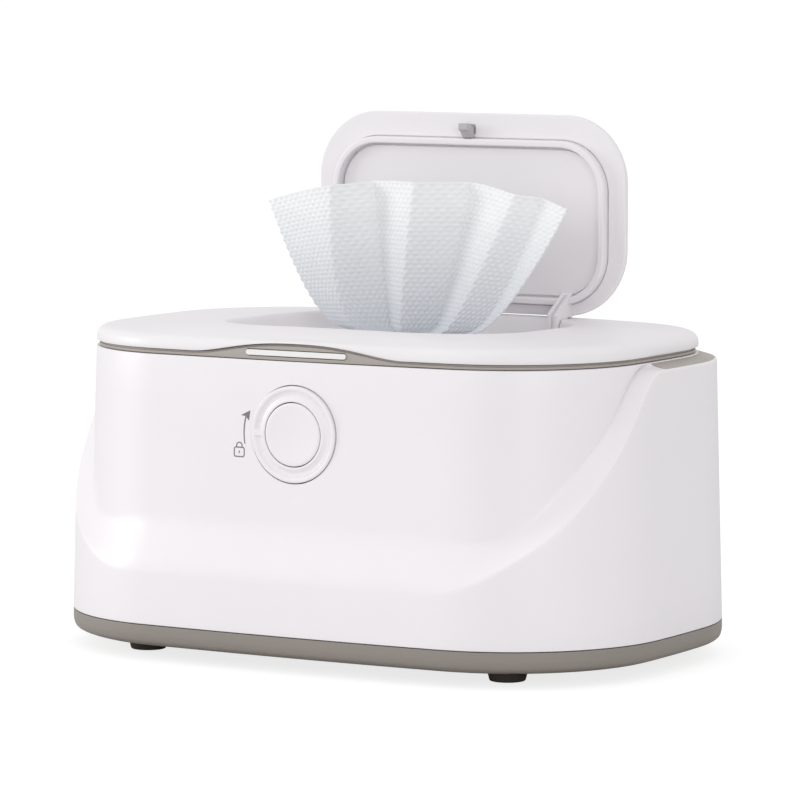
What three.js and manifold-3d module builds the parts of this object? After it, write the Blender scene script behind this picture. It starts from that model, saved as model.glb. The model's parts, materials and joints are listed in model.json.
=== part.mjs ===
// Baby wipe warmer: a heated tub in a moulded housing, with a refill lid hinged at the rear, a flip lid
// over the dispensing dish, a push button in a child lock ring, and one wipe drawn up through the dish.
// Millimetres, +Z up, front towards -Y. The origin is the centre of the footprint, on the table.

import * as THREE from "three";
import { mergeVertices } from "three/addons/utils/BufferGeometryUtils.js";
import Module from "manifold-3d";

const wasm = await Module();
wasm.setup();

// Plan of the housing: a rectangle with bowed sides and large corners
const bodyHalfWidth = 118.2;
const bodyHalfDepth = 78.7;
const cornerRadius = 60.6;
const frontSag = 5.4;
const sideSag = 6.2;

// Heights of the main split lines
const footHeight = 4.4;
const baseHeight = 8.6;
const panelTop = 109.8;
const trimBand = 1.5;

// Clearances and walls
const fit = 0.3;
const pinFit = 0.3;
const ringFit = 0.35;
const bodyWall = 2.5;
const overrun = 1;

// Housing shell: outer side, inset front panel and the sweep between them
const sideDraft = 2.5;
const panelInset = 9.1;
const panelDraft = 3.7;
const ledgeDrop = 2.2;
const ledgeRise = 1.9;
const sweepLow = 37;
const sweepStart = 24;
const leftLead = 20;
const sweepEnd = 112;
const sweepBlend = 14;
const sweepBand = 9.6;
const bandStart = 28;
const bandEnd = 50;
const softStart = 60;
const ridgeBevel = 1.2;
const ledgeExtraWall = 2;
const screwPostRadius = 5.2;
const screwPostInset = 7.4;
const screwPostHeight = 22;

// Trim ring
const trimInset = 9.5;
const trimWidth = 2.5;
const trimLip = 1.6;
const trimLedgeDrop = 5.6;
const trimLedgeThickness = 1.5;
const trimLedgeInset = 18;
const trimEdgeRound = 0.6;
const flangeThickness = 1.5;
const flangeFront = -12.5;
const crestHeight = 4.2;
const crestHalfWidth = 44;

// Light bar and its board
const lightHalfLength = 20.6;
const lightHalfHeight = 1;
const lightCentreRise = 0.9;
const lightProud = 0.25;
const lightBoardHalfLength = 25;
const lightBoardHeight = 7.4;
const lightBoardThickness = 1.2;
const lightBoardRise = 0.7;
const ledSize = 1.4;
const ledPitch = 14;

// Base tray
const baseWall = 2.4;
const baseEdge = 3;
const baseEdgeHeight = 3.8;
const baseLipHeight = 3.4;
const baseLipWall = 1.6;
const baseSpigotGap = 0.7;
const bossRadius = 4.2;
const padHeadroom = 11.3;
const padRibThickness = 2;
const padRibX = 34;
const padRibHalfLength = 30;
const ventLength = 26;
const ventWidth = 3;
const ventPitch = 8;
const ventCount = 3;

// Feet
const footSideMargin = 43.2;
const footEndMargin = 28.6;
const footBottomRadius = 6.35;
const footTopRadius = 7.5;
const footStemRadius = 2.5;
const footBarbRadius = 3.5;
const footBarbHeight = 2.4;
const footRound = 0.5;

// Base screws
const screwRadius = 1.4;
const screwHeadRadius = 2.9;
const screwHeadHeight = 1.8;
const screwLength = 18;
const screwSink = 0.6;

// Inner tub
const tubSideMargin = 20.2;
const tubEndMargin = 24.7;
const tubCentreY = 4;
const tubCorner = 38;
const tubFloorRise = 15;
const tubWall = 1.8;
const tubDraft = 3.5;
const tubBottomRound = 5;
const tubFlangeInset = 14;
const tubFlangeThickness = 1.8;

// Heater stack under the tub
const heaterSideMargin = 18;
const heaterEndMargin = 15;
const heaterCorner = 14;
const heaterPlateThickness = 1.5;
const heaterFilmThickness = 0.6;
const heaterFilmMargin = 4;
const padMargin = 2;
const thermostatLength = 14;
const thermostatWidth = 7;
const thermostatHeight = 3.8;
const thermostatSideMargin = 28;
const thermostatEndMargin = 22;

// Control board and socket
const boardLap = 5;
const boardRearMargin = 31.6;
const boardLength = 52;
const boardWidth = 20;
const boardThickness = 1.6;
const boardStand = 3.2;
const boardPostRadius = 2.4;
const boardPostMargin = 4;
const capacitorRadius = 4;
const capacitorHeight = 9;
const chipLength = 10;
const chipWidth = 6;
const chipHeight = 1.8;
const socketSideMargin = 58;
const socketRise = 11;
const socketRadius = 5;
const socketBore = 2.9;
const socketPin = 0.9;
const socketFlange = 6.8;
const socketFlangeDepth = 2;
const socketDepth = 13;
const socketWall = 1.2;

// Push button, lock ring and guide
const buttonDrop = 25.6;
const ringRadius = 17.25;
const buttonRadius = 11.25;
const ringProud = 0.9;
const buttonProud = 1.1;
const ringDepth = 3.6;
const ringDish = 0.7;
const ringHubWall = 1.6;
const ringHubDepth = 7.9;
const ringLip = 1.3;
const ringLipDepth = 1.1;
const ringRun = 0.35;
const pointerLength = 4.6;
const pointerWidth = 1.6;
const pointerDepth = 0.8;
const buttonDepth = 4;
const buttonDish = 0.5;
const stemRadius = 3.6;
const guideRadius = 19;
const guideThickness = 2;
const guideGap = 1;
const cageWall = 1.6;
const cageDepth = 16.6;
const cageHeight = 12;
const guideStandoffRadius = 2.6;
const guideStandoffX = 20.7;
const guideEarMargin = 3;

// Latch slide and tongue
const slideHalfWidth = 7;
const slideThickness = 1.6;
const slideGap = 1.3;
const slideHeadroom = 1.1;
const slideNoseHeight = 2.4;
const tongueHalfWidth = 8;
const tongueThickness = 1.8;
const tongueInset = 14.7;
const tongueReach = 4.2;
const tonguePeg = 0.8;
const tonguePegX = 5;
const tonguePegLength = 1;
const tongueWindowHalfWidth = 5;
const tongueWindowHeight = 3.6;
const tongueSlotMargin = 1.1;

// Button spring
const springRadius = 5.2;
const springWire = 0.6;
const springTurns = 4;
const springStepsPerTurn = 10;
const springSides = 5;

// Main lid
const lidGap = 0.3;
const lidEdgeHeight = 5.4;
const lidEdgeInset = 5.4;
const lidWall = 2.3;
const crownRise = 2.1;
const crownSideFall = 0.76;
const crownTiltShare = 0.015;
const gasketRibInset = 18;
const gasketRibWall = 1.6;
const gasketRibGap = 2.3;

// Dish in the main lid
const dishSideMargin = 58.2;
const dishEndMargin = 29.7;
const dishCorner = 37.5;
const dishCentreY = 3;
const dishDepth = 12;
const dishRimRound = 1.6;
const dishSlope = 3.5;
const dishFillet = 6.5;

// Orifice in the dish
const orificeHalfWidth = 27;
const orificeHalfDepth = 15;
const orificeOffset = 10;
const frameFlange = 4;
const frameThickness = 1.4;
const frameWall = 1.5;
const frameClip = 0.9;
const insertThickness = 1.2;
const insertFlange = 1.2;
const slotHalfLength = 12.6;
const slotHalfWidth = 1.8;

// Lid gasket
const gasketHalfWidth = 1.7;
const gasketGroove = 1.7;

// Rear hinge of the main lid
const hingeInset = 6;
const hingeRise = 0.8;
const hingeBarrel = 2.6;
const hingePin = 1.2;
const hingeSideMargin = 73;
const hingeLidHalf = 4.6;
const hingeGap = 0.4;
const hingeBodyWidth = 8;
const hingeLug = 4;

// Flip lid
const flipPinInset = 3.2;
const flipPinRise = 6;
const flipSideLap = 5.3;
const flipSeatDrop = 0.5;
const flipFrontMargin = 23.9;
const flipCorner = 25;
const flipRearGap = 3;
const flipThickness = 3;
const flipCrown = 0.8;
const flipEdgeRound = 1;
const ribSideMargin = 7.3;
const ribBottomMargin = 4;
const ribTopMargin = 9.4;
const ribWidth = 2.6;
const ribHeight = 3.3;
const ribCorner = 19;

// Flip lid arms, pins and pockets
const armSideMargin = 18.8;
const armHalfWidth = 2.3;
const armFrontReach = 5.2;
const armShoulderRise = 1.3;
const armTopRise = 8.6;
const armRearReach = 2.6;
const armBottomDrop = 3;
const armFrontDrop = 1;
const armChannelWidth = 1.1;
const armChannelDepth = 1.1;
const flipPinRadius = 1.2;
const earWidth = 2.8;
const earFrontReach = 3.4;
const earRise = 3.8;
const pocketDepth = 1.2;
const pocketBlockWall = 2.2;

// Hook of the flip lid and its catch
const hookTopMargin = 3.6;
const hookHeight = 5.6;
const hookHalfWidth = 2.2;
const hookReach = 6;
const hookLip = 1.6;
const hookRoot = 2.4;
const catchGap = 0.8;
const catchThickness = 2;
const catchHalfWidth = 5;
const catchHeight = 9;
const catchNose = 0.5;
const catchFootLength = 7;
const catchFootHeight = 1.4;

// Wipe: a fan of pleats gathered through the orifice
const wipeThickness = 1.1;
const wipeOffset = 2;
const wipeTailLength = 16.6;
const wipeSlotRise = 1.2;
const wipeTailHalfWidth = 13;
const wipeSlotHalfWidth = 11.5;
const wipeThroatRise = 6.4;
const wipeThroatLeft = -30;
const wipeThroatRight = 24;
const wipeCornerLeft = -62;
const wipeCornerRight = 61;
const wipeLeftRise = 45.5;
const wipeRightRise = 46.5;
const wipeCrownRise = 54.5;
const wipeTopDepth = 4.6;
const wipeThroatDepth = 1.9;
const wipeSlotDepth = 0.45;
const wipeGathers = 3.5;
const wipeTailRows = 1;
const wipeThroatRows = 3;
const wipeFanRows = 8;
const wipeFoldSteps = 4;

// Fold lines of the wipe, from its left edge to its right: where each starts at the throat and ends at
// the top edge, across its width, and how far it stands to the rear or, below 0, to the front
const wipeFoldShares = [
  { throat: 0, top: 0, depth: 0.3 },
  { throat: 0.12, top: 0.214, depth: -1 },
  { throat: 0.33, top: 0.346, depth: 0.75 },
  { throat: 0.4, top: 0.492, depth: -0.95 },
  { throat: 0.625, top: 0.664, depth: 0.9 },
  { throat: 0.715, top: 0.831, depth: -1 },
  { throat: 0.93, top: 0.875, depth: -0.35 },
  { throat: 1, top: 1, depth: -0.9 },
];

// Facet counts
const sideSteps = 2;
const cornerSteps = 6;
const frontSteps = 4;
const ringSegments = 32;
const roundSegments = 24;
const smallSegments = 12;
const hiddenSegments = 8;
const curveSteps = 4;
const ventSteps = 2;

// Colours and finishes
const finishes = {
  glossWhite: { color: 0xf0eff1, roughness: 0.28, metalness: 0 },
  lidWhite: { color: 0xe9e9eb, roughness: 0.35, metalness: 0 },
  taupe: { color: 0x968f87, roughness: 0.5, metalness: 0 },
  baseTaupe: { color: 0x8c857f, roughness: 0.55, metalness: 0 },
  rubber: { color: 0x463e37, roughness: 0.9, metalness: 0 },
  innerWhite: { color: 0xdfe2e4, roughness: 0.45, metalness: 0 },
  diffuser: { color: 0xf7f7f5, roughness: 0.3, metalness: 0 },
  hookGrey: { color: 0xa9a9ab, roughness: 0.5, metalness: 0 },
  silicone: { color: 0xd7dbdd, roughness: 0.7, metalness: 0 },
  steel: { color: 0xb8bcc2, roughness: 0.3, metalness: 1 },
  aluminium: { color: 0xc9ccd0, roughness: 0.4, metalness: 1 },
  film: { color: 0xc26a2b, roughness: 0.5, metalness: 0 },
  foam: { color: 0x55585c, roughness: 0.95, metalness: 0 },
  board: { color: 0x1f6b42, roughness: 0.5, metalness: 0 },
  black: { color: 0x1e1f22, roughness: 0.5, metalness: 0 },
  cloth: { color: 0xf3f5f6, roughness: 0.95, metalness: 0 },
};

// Levels worked out from the sizes above
const baseBottom = footHeight + fit;
const baseTop = baseBottom + baseHeight - fit;
const shellBottom = baseTop + fit;
const baseFloorTop = baseBottom + baseWall;
const trimBottom = panelTop + fit;
const trimTop = trimBottom + trimBand;
const lidBottom = trimTop + lidGap;
const lidInset = panelInset;
const ledgeHeight = panelTop - ledgeDrop;
const trimLedgeHeight = trimBottom - trimLedgeDrop;
const trimLedgeTop = trimLedgeHeight + trimLedgeThickness;
const tubFlangeBottom = trimLedgeTop + fit;
const tubFlangeTop = tubFlangeBottom + tubFlangeThickness;
const gasketRibBottom = tubFlangeTop + gasketRibGap;
const crownHeight = lidBottom + lidEdgeHeight + crownRise;
const dishFloor = crownHeight - dishDepth;
const dishUnderside = dishFloor - lidWall;
const tubFloor = baseTop + tubFloorRise;
const padRibTop = tubFloor - padHeadroom;
const lightCentreZ = trimTop + lightCentreRise;
const lightBoardBottom = trimLedgeTop + lightBoardRise;

// Places of what sits inside, worked out from the body's plan
const tubHalfWidth = bodyHalfWidth - tubSideMargin;
const tubHalfDepth = bodyHalfDepth - tubEndMargin;
const heaterHalfWidth = tubHalfWidth - heaterSideMargin;
const heaterHalfDepth = tubHalfDepth - heaterEndMargin;
const thermostatX = thermostatSideMargin - heaterHalfWidth;
const thermostatY = thermostatEndMargin - heaterHalfDepth;
const footX = bodyHalfWidth - footSideMargin;
const footY = bodyHalfDepth - footEndMargin;
const socketX = bodyHalfWidth - socketSideMargin;
const socketZ = baseTop + socketRise;
const boardX = socketX + boardLap - boardLength;
const boardY = bodyHalfDepth - boardRearMargin;
const hingeY = bodyHalfDepth - hingeInset;
const hingeZ = trimTop + hingeRise;
const hingeX = bodyHalfWidth - hingeSideMargin;

// Places of the latch behind the front wall
const buttonZ = panelTop - buttonDrop;
const tongueFront = tongueInset - bodyHalfDepth;
const slideRear = tongueFront + tongueThickness + slideGap + slideThickness;
const slideTop = trimLedgeHeight - slideHeadroom;
const tongueBottom = slideTop - tongueReach;

// Places on the dish, and of the flip lid that stands behind it
const dishHalfWidth = bodyHalfWidth - dishSideMargin;
const dishHalfDepth = bodyHalfDepth - dishEndMargin;
const dishRearY = dishCentreY + dishHalfDepth;
const orificeCentreY = dishCentreY + orificeOffset;
const flipPinY = dishRearY - flipPinInset;
const flipPinZ = dishFloor + flipPinRise;
const flipHalfWidth = dishHalfWidth + flipSideLap;
const flipBottom = crownHeight - flipSeatDrop;
const flipTop = flipBottom + dishHalfDepth * 2 - flipFrontMargin;
const flipInnerY = dishRearY + flipRearGap;
const ribHalfWidth = flipHalfWidth - ribSideMargin;
const ribBottom = flipBottom + ribBottomMargin;
const ribTop = flipTop - ribTopMargin;
const armX = dishHalfWidth - armSideMargin;
const armFrontY = flipPinY - armFrontReach;
const armRearY = flipPinY + armRearReach;
const armUndersideZ = flipBottom - fit;
const armShoulderZ = flipBottom + armShoulderRise;
const armTopZ = flipBottom + armTopRise;
const earFrontY = flipPinY - earFrontReach;
const earTop = flipPinZ + earRise;
const hookTop = flipTop - hookTopMargin;
const hookBottom = hookTop - hookHeight;
const catchTop = dishFloor + catchHeight;

// Places of the wipe over the orifice
const wipeY = orificeCentreY + wipeOffset;
const wipeSlotZ = dishFloor + wipeSlotRise;
const wipeTailBottom = wipeSlotZ - wipeTailLength;
const wipeThroatZ = wipeSlotZ + wipeThroatRise;
const wipeEdgeLeftZ = wipeThroatZ + wipeLeftRise;
const wipeEdgeRightZ = wipeThroatZ + wipeRightRise;
const wipeCrownZ = wipeThroatZ + wipeCrownRise;

// A signed distance is 0 before its start and 1 past its end, with smooth ends
function smooth(value, start, end) {
  return THREE.MathUtils.smoothstep(value, start, end);
}

// The lower of two heights, with a rounded corner where they cross
function softMin(a, b, blend) {
  const h = THREE.MathUtils.clamp((1 + (b - a) / blend) / 2, 0, 1);
  return THREE.MathUtils.lerp(b, a, h) - blend * h * (1 - h);
}

// Turns a closed three.js geometry into a manifold solid
function solidFrom(geometry) {
  const bare = geometry.clone();
  for (const name of Object.keys(bare.attributes)) {
    if (name !== "position") bare.deleteAttribute(name);
  }
  const merged = mergeVertices(bare, 1e-4);
  return new wasm.Manifold(
    new wasm.Mesh({
      numProp: 3,
      vertProperties: new Float32Array(merged.attributes.position.array),
      triVerts: new Uint32Array(merged.index.array),
    }),
  );
}

// Turns a manifold solid into a three.js geometry with flat faces
function geometryFrom(solid) {
  const mesh = solid.getMesh();
  const geometry = new THREE.BufferGeometry();
  geometry.setAttribute("position", new THREE.BufferAttribute(mesh.vertProperties, 3));
  geometry.setIndex(new THREE.BufferAttribute(mesh.triVerts, 1));
  geometry.computeVertexNormals();
  return geometry;
}

function join(...solids) {
  return solids.reduce((sum, solid) => sum.add(solid));
}

function cut(solid, ...tools) {
  return tools.reduce((rest, tool) => rest.subtract(tool), solid);
}

function block(x0, x1, y0, y1, z0, z1) {
  const box = new THREE.BoxGeometry(x1 - x0, y1 - y0, z1 - z0);
  box.translate((x0 + x1) / 2, (y0 + y1) / 2, (z0 + z1) / 2);
  return solidFrom(box);
}

// Cylinders along each axis, given by their two ends and the place of their centre line
function rodZ(radius, z0, z1, x, y, segments = smallSegments) {
  const rod = new THREE.CylinderGeometry(radius, radius, z1 - z0, segments);
  rod.rotateX(Math.PI / 2);
  rod.translate(x, y, (z0 + z1) / 2);
  return solidFrom(rod);
}

function rodY(radius, y0, y1, x, z, segments = smallSegments) {
  const rod = new THREE.CylinderGeometry(radius, radius, y1 - y0, segments);
  rod.translate(x, (y0 + y1) / 2, z);
  return solidFrom(rod);
}

function rodX(radius, x0, x1, y, z, segments = smallSegments) {
  const rod = new THREE.CylinderGeometry(radius, radius, x1 - x0, segments);
  rod.rotateZ(Math.PI / 2);
  rod.translate((x0 + x1) / 2, y, z);
  return solidFrom(rod);
}

// A turned piece: its profile is [radius, distance] pairs, and its axis runs along +Z
function turnedZ(profile, x, y, z, segments = roundSegments) {
  const lathe = new THREE.LatheGeometry(profile.map(([r, h]) => new THREE.Vector2(r, h)), segments);
  lathe.rotateX(Math.PI / 2);
  lathe.translate(x, y, z);
  return solidFrom(lathe);
}

// The same with its axis along +Y, so distance 0 is the plane y
function turnedY(profile, x, y, z, segments = roundSegments) {
  const lathe = new THREE.LatheGeometry(profile.map(([r, h]) => new THREE.Vector2(r, h)), segments);
  lathe.translate(x, y, z);
  return solidFrom(lathe);
}

// A side profile of [y, z] corners, pulled out from x0 to x1
function plateX(corners, x0, x1) {
  const shape = new THREE.Shape(corners.map(([y, z]) => new THREE.Vector2(y, z)));
  const plate = new THREE.ExtrudeGeometry(shape, { depth: x1 - x0, bevelEnabled: false });
  plate.applyMatrix4(new THREE.Matrix4().set(0, 0, 1, x0, 1, 0, 0, 0, 0, 1, 0, 0, 0, 0, 0, 1));
  return solidFrom(plate);
}

// A rectangle with round corners in the XZ plane, pulled out from y0 to y1
function roundedPlateY(halfWidth, halfHeight, radius, x, z, y0, y1) {
  const shape = new THREE.Shape();
  shape.absarc(halfWidth - radius, halfHeight - radius, radius, 0, Math.PI / 2);
  shape.absarc(radius - halfWidth, halfHeight - radius, radius, Math.PI / 2, Math.PI);
  shape.absarc(radius - halfWidth, radius - halfHeight, radius, Math.PI, Math.PI * 1.5);
  shape.absarc(halfWidth - radius, radius - halfHeight, radius, Math.PI * 1.5, Math.PI * 2);
  const plate = new THREE.ExtrudeGeometry(shape, { depth: y1 - y0, bevelEnabled: false, curveSegments: curveSteps });
  plate.rotateX(Math.PI / 2);
  plate.translate(x, y1, z);
  return solidFrom(plate);
}

// The same lying flat in the XY plane, pulled up from z0 to z1
function roundedPlateZ(halfWidth, halfDepth, radius, x, y, z0, z1, steps = curveSteps) {
  const shape = new THREE.Shape();
  shape.absarc(halfWidth - radius, halfDepth - radius, radius, 0, Math.PI / 2);
  shape.absarc(radius - halfWidth, halfDepth - radius, radius, Math.PI / 2, Math.PI);
  shape.absarc(radius - halfWidth, radius - halfDepth, radius, Math.PI, Math.PI * 1.5);
  shape.absarc(halfWidth - radius, radius - halfDepth, radius, Math.PI * 1.5, Math.PI * 2);
  const plate = new THREE.ExtrudeGeometry(shape, { depth: z1 - z0, bevelEnabled: false, curveSegments: steps });
  plate.translate(x, y, z0);
  return solidFrom(plate);
}

// Repeats one quarter of an outline round both axes. A station holds its place, its outward direction
// and its distance along the outline from the middle of the side.
function fourQuarters(quarter) {
  const last = quarter.length - 1;
  const turned = [
    quarter.slice(0, last),
    quarter.slice(1).reverse().map((s) => ({ ...s, x: -s.x, nx: -s.nx })),
    quarter.slice(0, last).map((s) => ({ ...s, x: -s.x, nx: -s.nx, y: -s.y, ny: -s.ny })),
    quarter.slice(1).reverse().map((s) => ({ ...s, y: -s.y, ny: -s.ny })),
  ];
  return turned.flat();
}

// Stations on arcs given as centre, radius and the angles at their ends
function stationsOnArcs(arcs) {
  const stations = [];
  let along = 0;
  for (const { centre, radius, from, to, steps } of arcs) {
    for (let i = stations.length ? 1 : 0; i <= steps; i++) {
      const angle = THREE.MathUtils.lerp(from, to, i / steps);
      const nx = Math.cos(angle);
      const ny = Math.sin(angle);
      stations.push({
        x: centre.x + radius * nx,
        y: centre.y + radius * ny,
        nx,
        ny,
        along: along + radius * (angle - from),
      });
    }
    along += radius * (to - from);
  }
  return stations;
}

// Plan of the housing: shallow arcs for the sides, joined by corner arcs that touch them
function housingPlan() {
  const radiusFor = (half, sag) => (half ** 2 + sag ** 2) / (2 * sag);
  const backRadius = radiusFor(bodyHalfWidth, frontSag);
  const flankRadius = radiusFor(bodyHalfDepth, sideSag);
  const back = new THREE.Vector2(0, bodyHalfDepth - backRadius);
  const flank = new THREE.Vector2(bodyHalfWidth - flankRadius, 0);
  const backReach = backRadius - cornerRadius;
  const flankReach = flankRadius - cornerRadius;
  const apart = flank.clone().sub(back);
  const distance = apart.length();
  const near = (backReach ** 2 - flankReach ** 2 + distance ** 2) / (2 * distance);
  const side = Math.sqrt(backReach ** 2 - near ** 2);
  const along = apart.clone().normalize();
  const corner = back.clone().addScaledVector(along, near);
  corner.add(new THREE.Vector2(along.y, -along.x).multiplyScalar(side));
  const flankAngle = corner.clone().sub(flank).angle();
  const backAngle = corner.clone().sub(back).angle();
  return fourQuarters(
    stationsOnArcs([
      { centre: flank, radius: flankRadius, from: 0, to: flankAngle, steps: sideSteps },
      { centre: corner, radius: cornerRadius, from: flankAngle, to: backAngle, steps: cornerSteps },
      { centre: back, radius: backRadius, from: backAngle, to: Math.PI / 2, steps: frontSteps },
    ]),
  );
}

// A plain rectangle with round corners, with as many stations in the same order
function roundedPlan(halfWidth, halfDepth, radius) {
  const quarter = [];
  for (let i = 0; i < sideSteps; i++) {
    const y = ((halfDepth - radius) * i) / sideSteps;
    quarter.push({ x: halfWidth, y, nx: 1, ny: 0, along: y });
  }
  const centre = { x: halfWidth - radius, y: halfDepth - radius };
  quarter.push(
    ...stationsOnArcs([{ centre, radius, from: 0, to: Math.PI / 2, steps: cornerSteps }]),
  );
  for (let i = 1; i <= frontSteps; i++) {
    const x = (halfWidth - radius) * (1 - i / frontSteps);
    quarter.push({ x, y: halfDepth, nx: 0, ny: 1, along: halfDepth });
  }
  return fourQuarters(quarter);
}

const plan = housingPlan();

// One row of a loft: each station moved in by its inset and put at its height
function row(stations, inset, height, centreY = 0) {
  return stations.map((s, i) => {
    const depth = typeof inset === "function" ? inset(s, i) : inset;
    const z = typeof height === "function" ? height(s, i) : height;
    return new THREE.Vector3(s.x - s.nx * depth, s.y - s.ny * depth + centreY, z);
  });
}

// A row between two others, with its own height
function between(first, second, share, height) {
  return first.map((point, i) => {
    const mixed = point.clone().lerp(second[i], share);
    mixed.z = height(mixed, i);
    return mixed;
  });
}

// Skins rows of points that run anticlockwise seen from above, the first row lowest on the outside.
// A ring joins its last row to its first; otherwise both ends get a flat cap.
function loft(rows, isRing) {
  const count = rows[0].length;
  const positions = rows.flat().flatMap((p) => [p.x, p.y, p.z]);
  const index = [];
  const bands = isRing ? rows.length : rows.length - 1;
  for (let r = 0; r < bands; r++) {
    const low = r * count;
    const high = ((r + 1) % rows.length) * count;
    for (let i = 0; i < count; i++) {
      const next = (i + 1) % count;
      index.push(low + i, low + next, high + next, low + i, high + next, high + i);
    }
  }
  if (!isRing) {
    for (const [r, turn] of [[0, true], [rows.length - 1, false]]) {
      const middle = rows[r].reduce((sum, p) => sum.add(p), new THREE.Vector3()).divideScalar(count);
      const centre = positions.length / 3;
      positions.push(middle.x, middle.y, middle.z);
      for (let i = 0; i < count; i++) {
        const here = r * count + i;
        const next = r * count + ((i + 1) % count);
        index.push(...(turn ? [centre, next, here] : [centre, here, next]));
      }
    }
  }
  const geometry = new THREE.BufferGeometry();
  geometry.setAttribute("position", new THREE.Float32BufferAttribute(positions, 3));
  geometry.setIndex(index);
  return solidFrom(geometry);
}

// Inset of the housing's side at a height, which leans in as it rises
function sideInset(z) {
  return (sideDraft * (z - baseTop)) / (panelTop - baseTop);
}

// Inset of the front panel at a height, which leans in the same way
function frontInset(z) {
  return panelInset - (panelDraft * (panelTop - z)) / (panelTop - baseTop);
}

// How far a station has come along the sweep: it counts from the middle of the side towards the front,
// and on the left the sweep begins earlier than on the right
function sweepAlong(s) {
  const along = s.y < 0 ? s.along : -s.along;
  return s.x < 0 ? along + leftLead : along;
}

// Height of the ridge at a station: level round the sides and back, and a quadratic sweep down to the
// middle of the front
function ridgeZ(s) {
  const share = Math.min((sweepAlong(s) - sweepStart) / (sweepEnd - sweepStart), 1);
  const dip = sweepLow + (ledgeHeight - sweepLow) * (1 - share) ** 2;
  return softMin(ledgeHeight, dip, sweepBlend);
}

// Height of the band between the ridge and the foot of the front panel
function bandZ(s) {
  return THREE.MathUtils.lerp(ledgeRise, sweepBand, smooth(sweepAlong(s), bandStart, bandEnd));
}

// Section of the band: it leaves the ridge at a crisp edge and runs out softly, and towards the middle
// of the front both ends are soft
function bandShape(s, share) {
  const crisp = 1 - (1 - share) ** 2;
  const soft = smooth(sweepAlong(s), softStart, sweepEnd);
  return THREE.MathUtils.lerp(crisp, smooth(share, 0, 1), soft);
}

// How far the band's inner face lies below its outer face for an even wall
function bandDrop(s, wall) {
  const ridge = ridgeZ(s);
  const rise = bandZ(s);
  const run = frontInset(ridge + rise) - sideInset(ridge);
  const slant = Math.hypot(run, rise);
  const shelf = 1 - smooth(rise, ledgeRise, sweepBand);
  return (run * wall) / slant - (rise / run) * wall * (1 - rise / slant) + ledgeExtraWall * shelf;
}

// Point of the band at a share of its height, moved in by a wall
function bandRow(share, wall) {
  const drop = (s) => (wall ? bandDrop(s, wall) : 0);
  return row(
    plan,
    (s) => {
      const low = sideInset(ridgeZ(s));
      const high = frontInset(ridgeZ(s) + bandZ(s));
      return THREE.MathUtils.lerp(low, high, bandShape(s, share)) + wall;
    },
    (s) => ridgeZ(s) + bandZ(s) * share - drop(s),
  );
}

// Height of the wave that the trim makes into the lid at the front
function crest(x, y) {
  const share = Math.abs(x) / crestHalfWidth;
  return y < 0 && share < 1 ? crestHeight * (1 - share ** 2.5) ** 2 : 0;
}

// Solid of the flange over the side and rear ledge, grown by a clearance to make its seat
function flangeSolid(grow) {
  const top = (s, share) => ridgeZ(s) + bandZ(s) * share;
  const under = flangeThickness + grow;
  const outer = (s) => sideInset(ridgeZ(s)) + fit - grow;
  const inner = trimInset + trimWidth + grow;
  const innerZ = (s) => top(s, 1) + trimBand / 2;
  const rows = [
    row(plan, outer, (s) => top(s, 0) - under),
    row(plan, outer, (s) => top(s, 0) - trimEdgeRound + grow),
    row(plan, (s) => outer(s) + trimEdgeRound, (s) => top(s, 0) + grow * 2),
    row(plan, panelInset, (s) => top(s, 1) + grow * 2),
    row(plan, inner, (s) => innerZ(s) + grow * 4),
    row(plan, inner, (s) => top(s, 1) - under),
    row(plan, panelInset, (s) => top(s, 1) - under),
  ];
  const ring = loft(rows, true);
  const reach = bodyHalfWidth + overrun;
  return cut(
    ring,
    block(0, reach, -reach, flangeFront - grow, 0, lidBottom * 2),
    block(-reach, overrun, -reach, flangeFront + leftLead - grow, 0, lidBottom * 2),
  );
}

function screwPlaces() {
  const corner = plan.find((s) => s.nx > 0 && s.ny >= s.nx);
  const x = corner.x - corner.nx * screwPostInset;
  const y = corner.y - corner.ny * screwPostInset;
  return [[-x, -y], [x, -y], [-x, y], [x, y]];
}

function housingShell() {
  const sideRow = (height, wall) => row(plan, (s) => sideInset(height(s)) + wall, height);
  const panelRow = (height, wall) => row(plan, (s) => frontInset(height(s)) + wall, height);
  const outside = [
    sideRow(() => shellBottom, 0),
    sideRow((s) => ridgeZ(s) - ridgeBevel, 0),
    ...[0.1, 0.35, 0.65, 1].map((at) => bandRow(at, 0)),
    panelRow(() => panelTop, 0),
  ];
  const inside = [
    panelRow(() => panelTop, bodyWall),
    ...[1, 0.55, 0.1].map((at) => bandRow(at, bodyWall)),
    sideRow(() => shellBottom, bodyWall),
  ];
  const posts = screwPlaces().map(([x, y]) =>
    rodZ(screwPostRadius, baseTop + baseLipHeight + fit, shellBottom + screwPostHeight, x, y, hiddenSegments),
  );
  const holes = screwPlaces().map(([x, y]) =>
    rodZ(screwRadius + pinFit, 0, shellBottom + screwPostHeight - bodyWall, x, y, hiddenSegments),
  );
  const front = -bodyHalfDepth - overrun;
  const standoffs = guideStandoffs(guideStandoffRadius, frontWallY() + bodyWall - overrun, guideFront() - fit);
  const wall = cut(loft([...outside, ...inside], true), flangeSolid(fit));
  const cavityFloor = hingeZ - hingeBarrel - fit;
  return cut(
    join(wall, ...posts, ...standoffs),
    ...holes,
    rodY(ringRadius + fit, front, guideFront(), 0, buttonZ, roundSegments),
    rodY(socketRadius + fit, bodyHalfDepth - panelInset, bodyHalfDepth + overrun, socketX, socketZ),
    block(-bodyHalfWidth, bodyHalfWidth, hingeY - hingeBarrel, hingeY + hingeBarrel, cavityFloor, lidBottom),
    ...guideStandoffs(screwRadius, frontWallY() + bodyWall, guideFront() + overrun),
  );
}

// Front face of the housing at the button's centre, and of the guide plate behind the wall
function frontWallY() {
  return frontInset(buttonZ) - bodyHalfDepth;
}

function guideFront() {
  return frontWallY() + bodyWall + guideGap;
}

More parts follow.
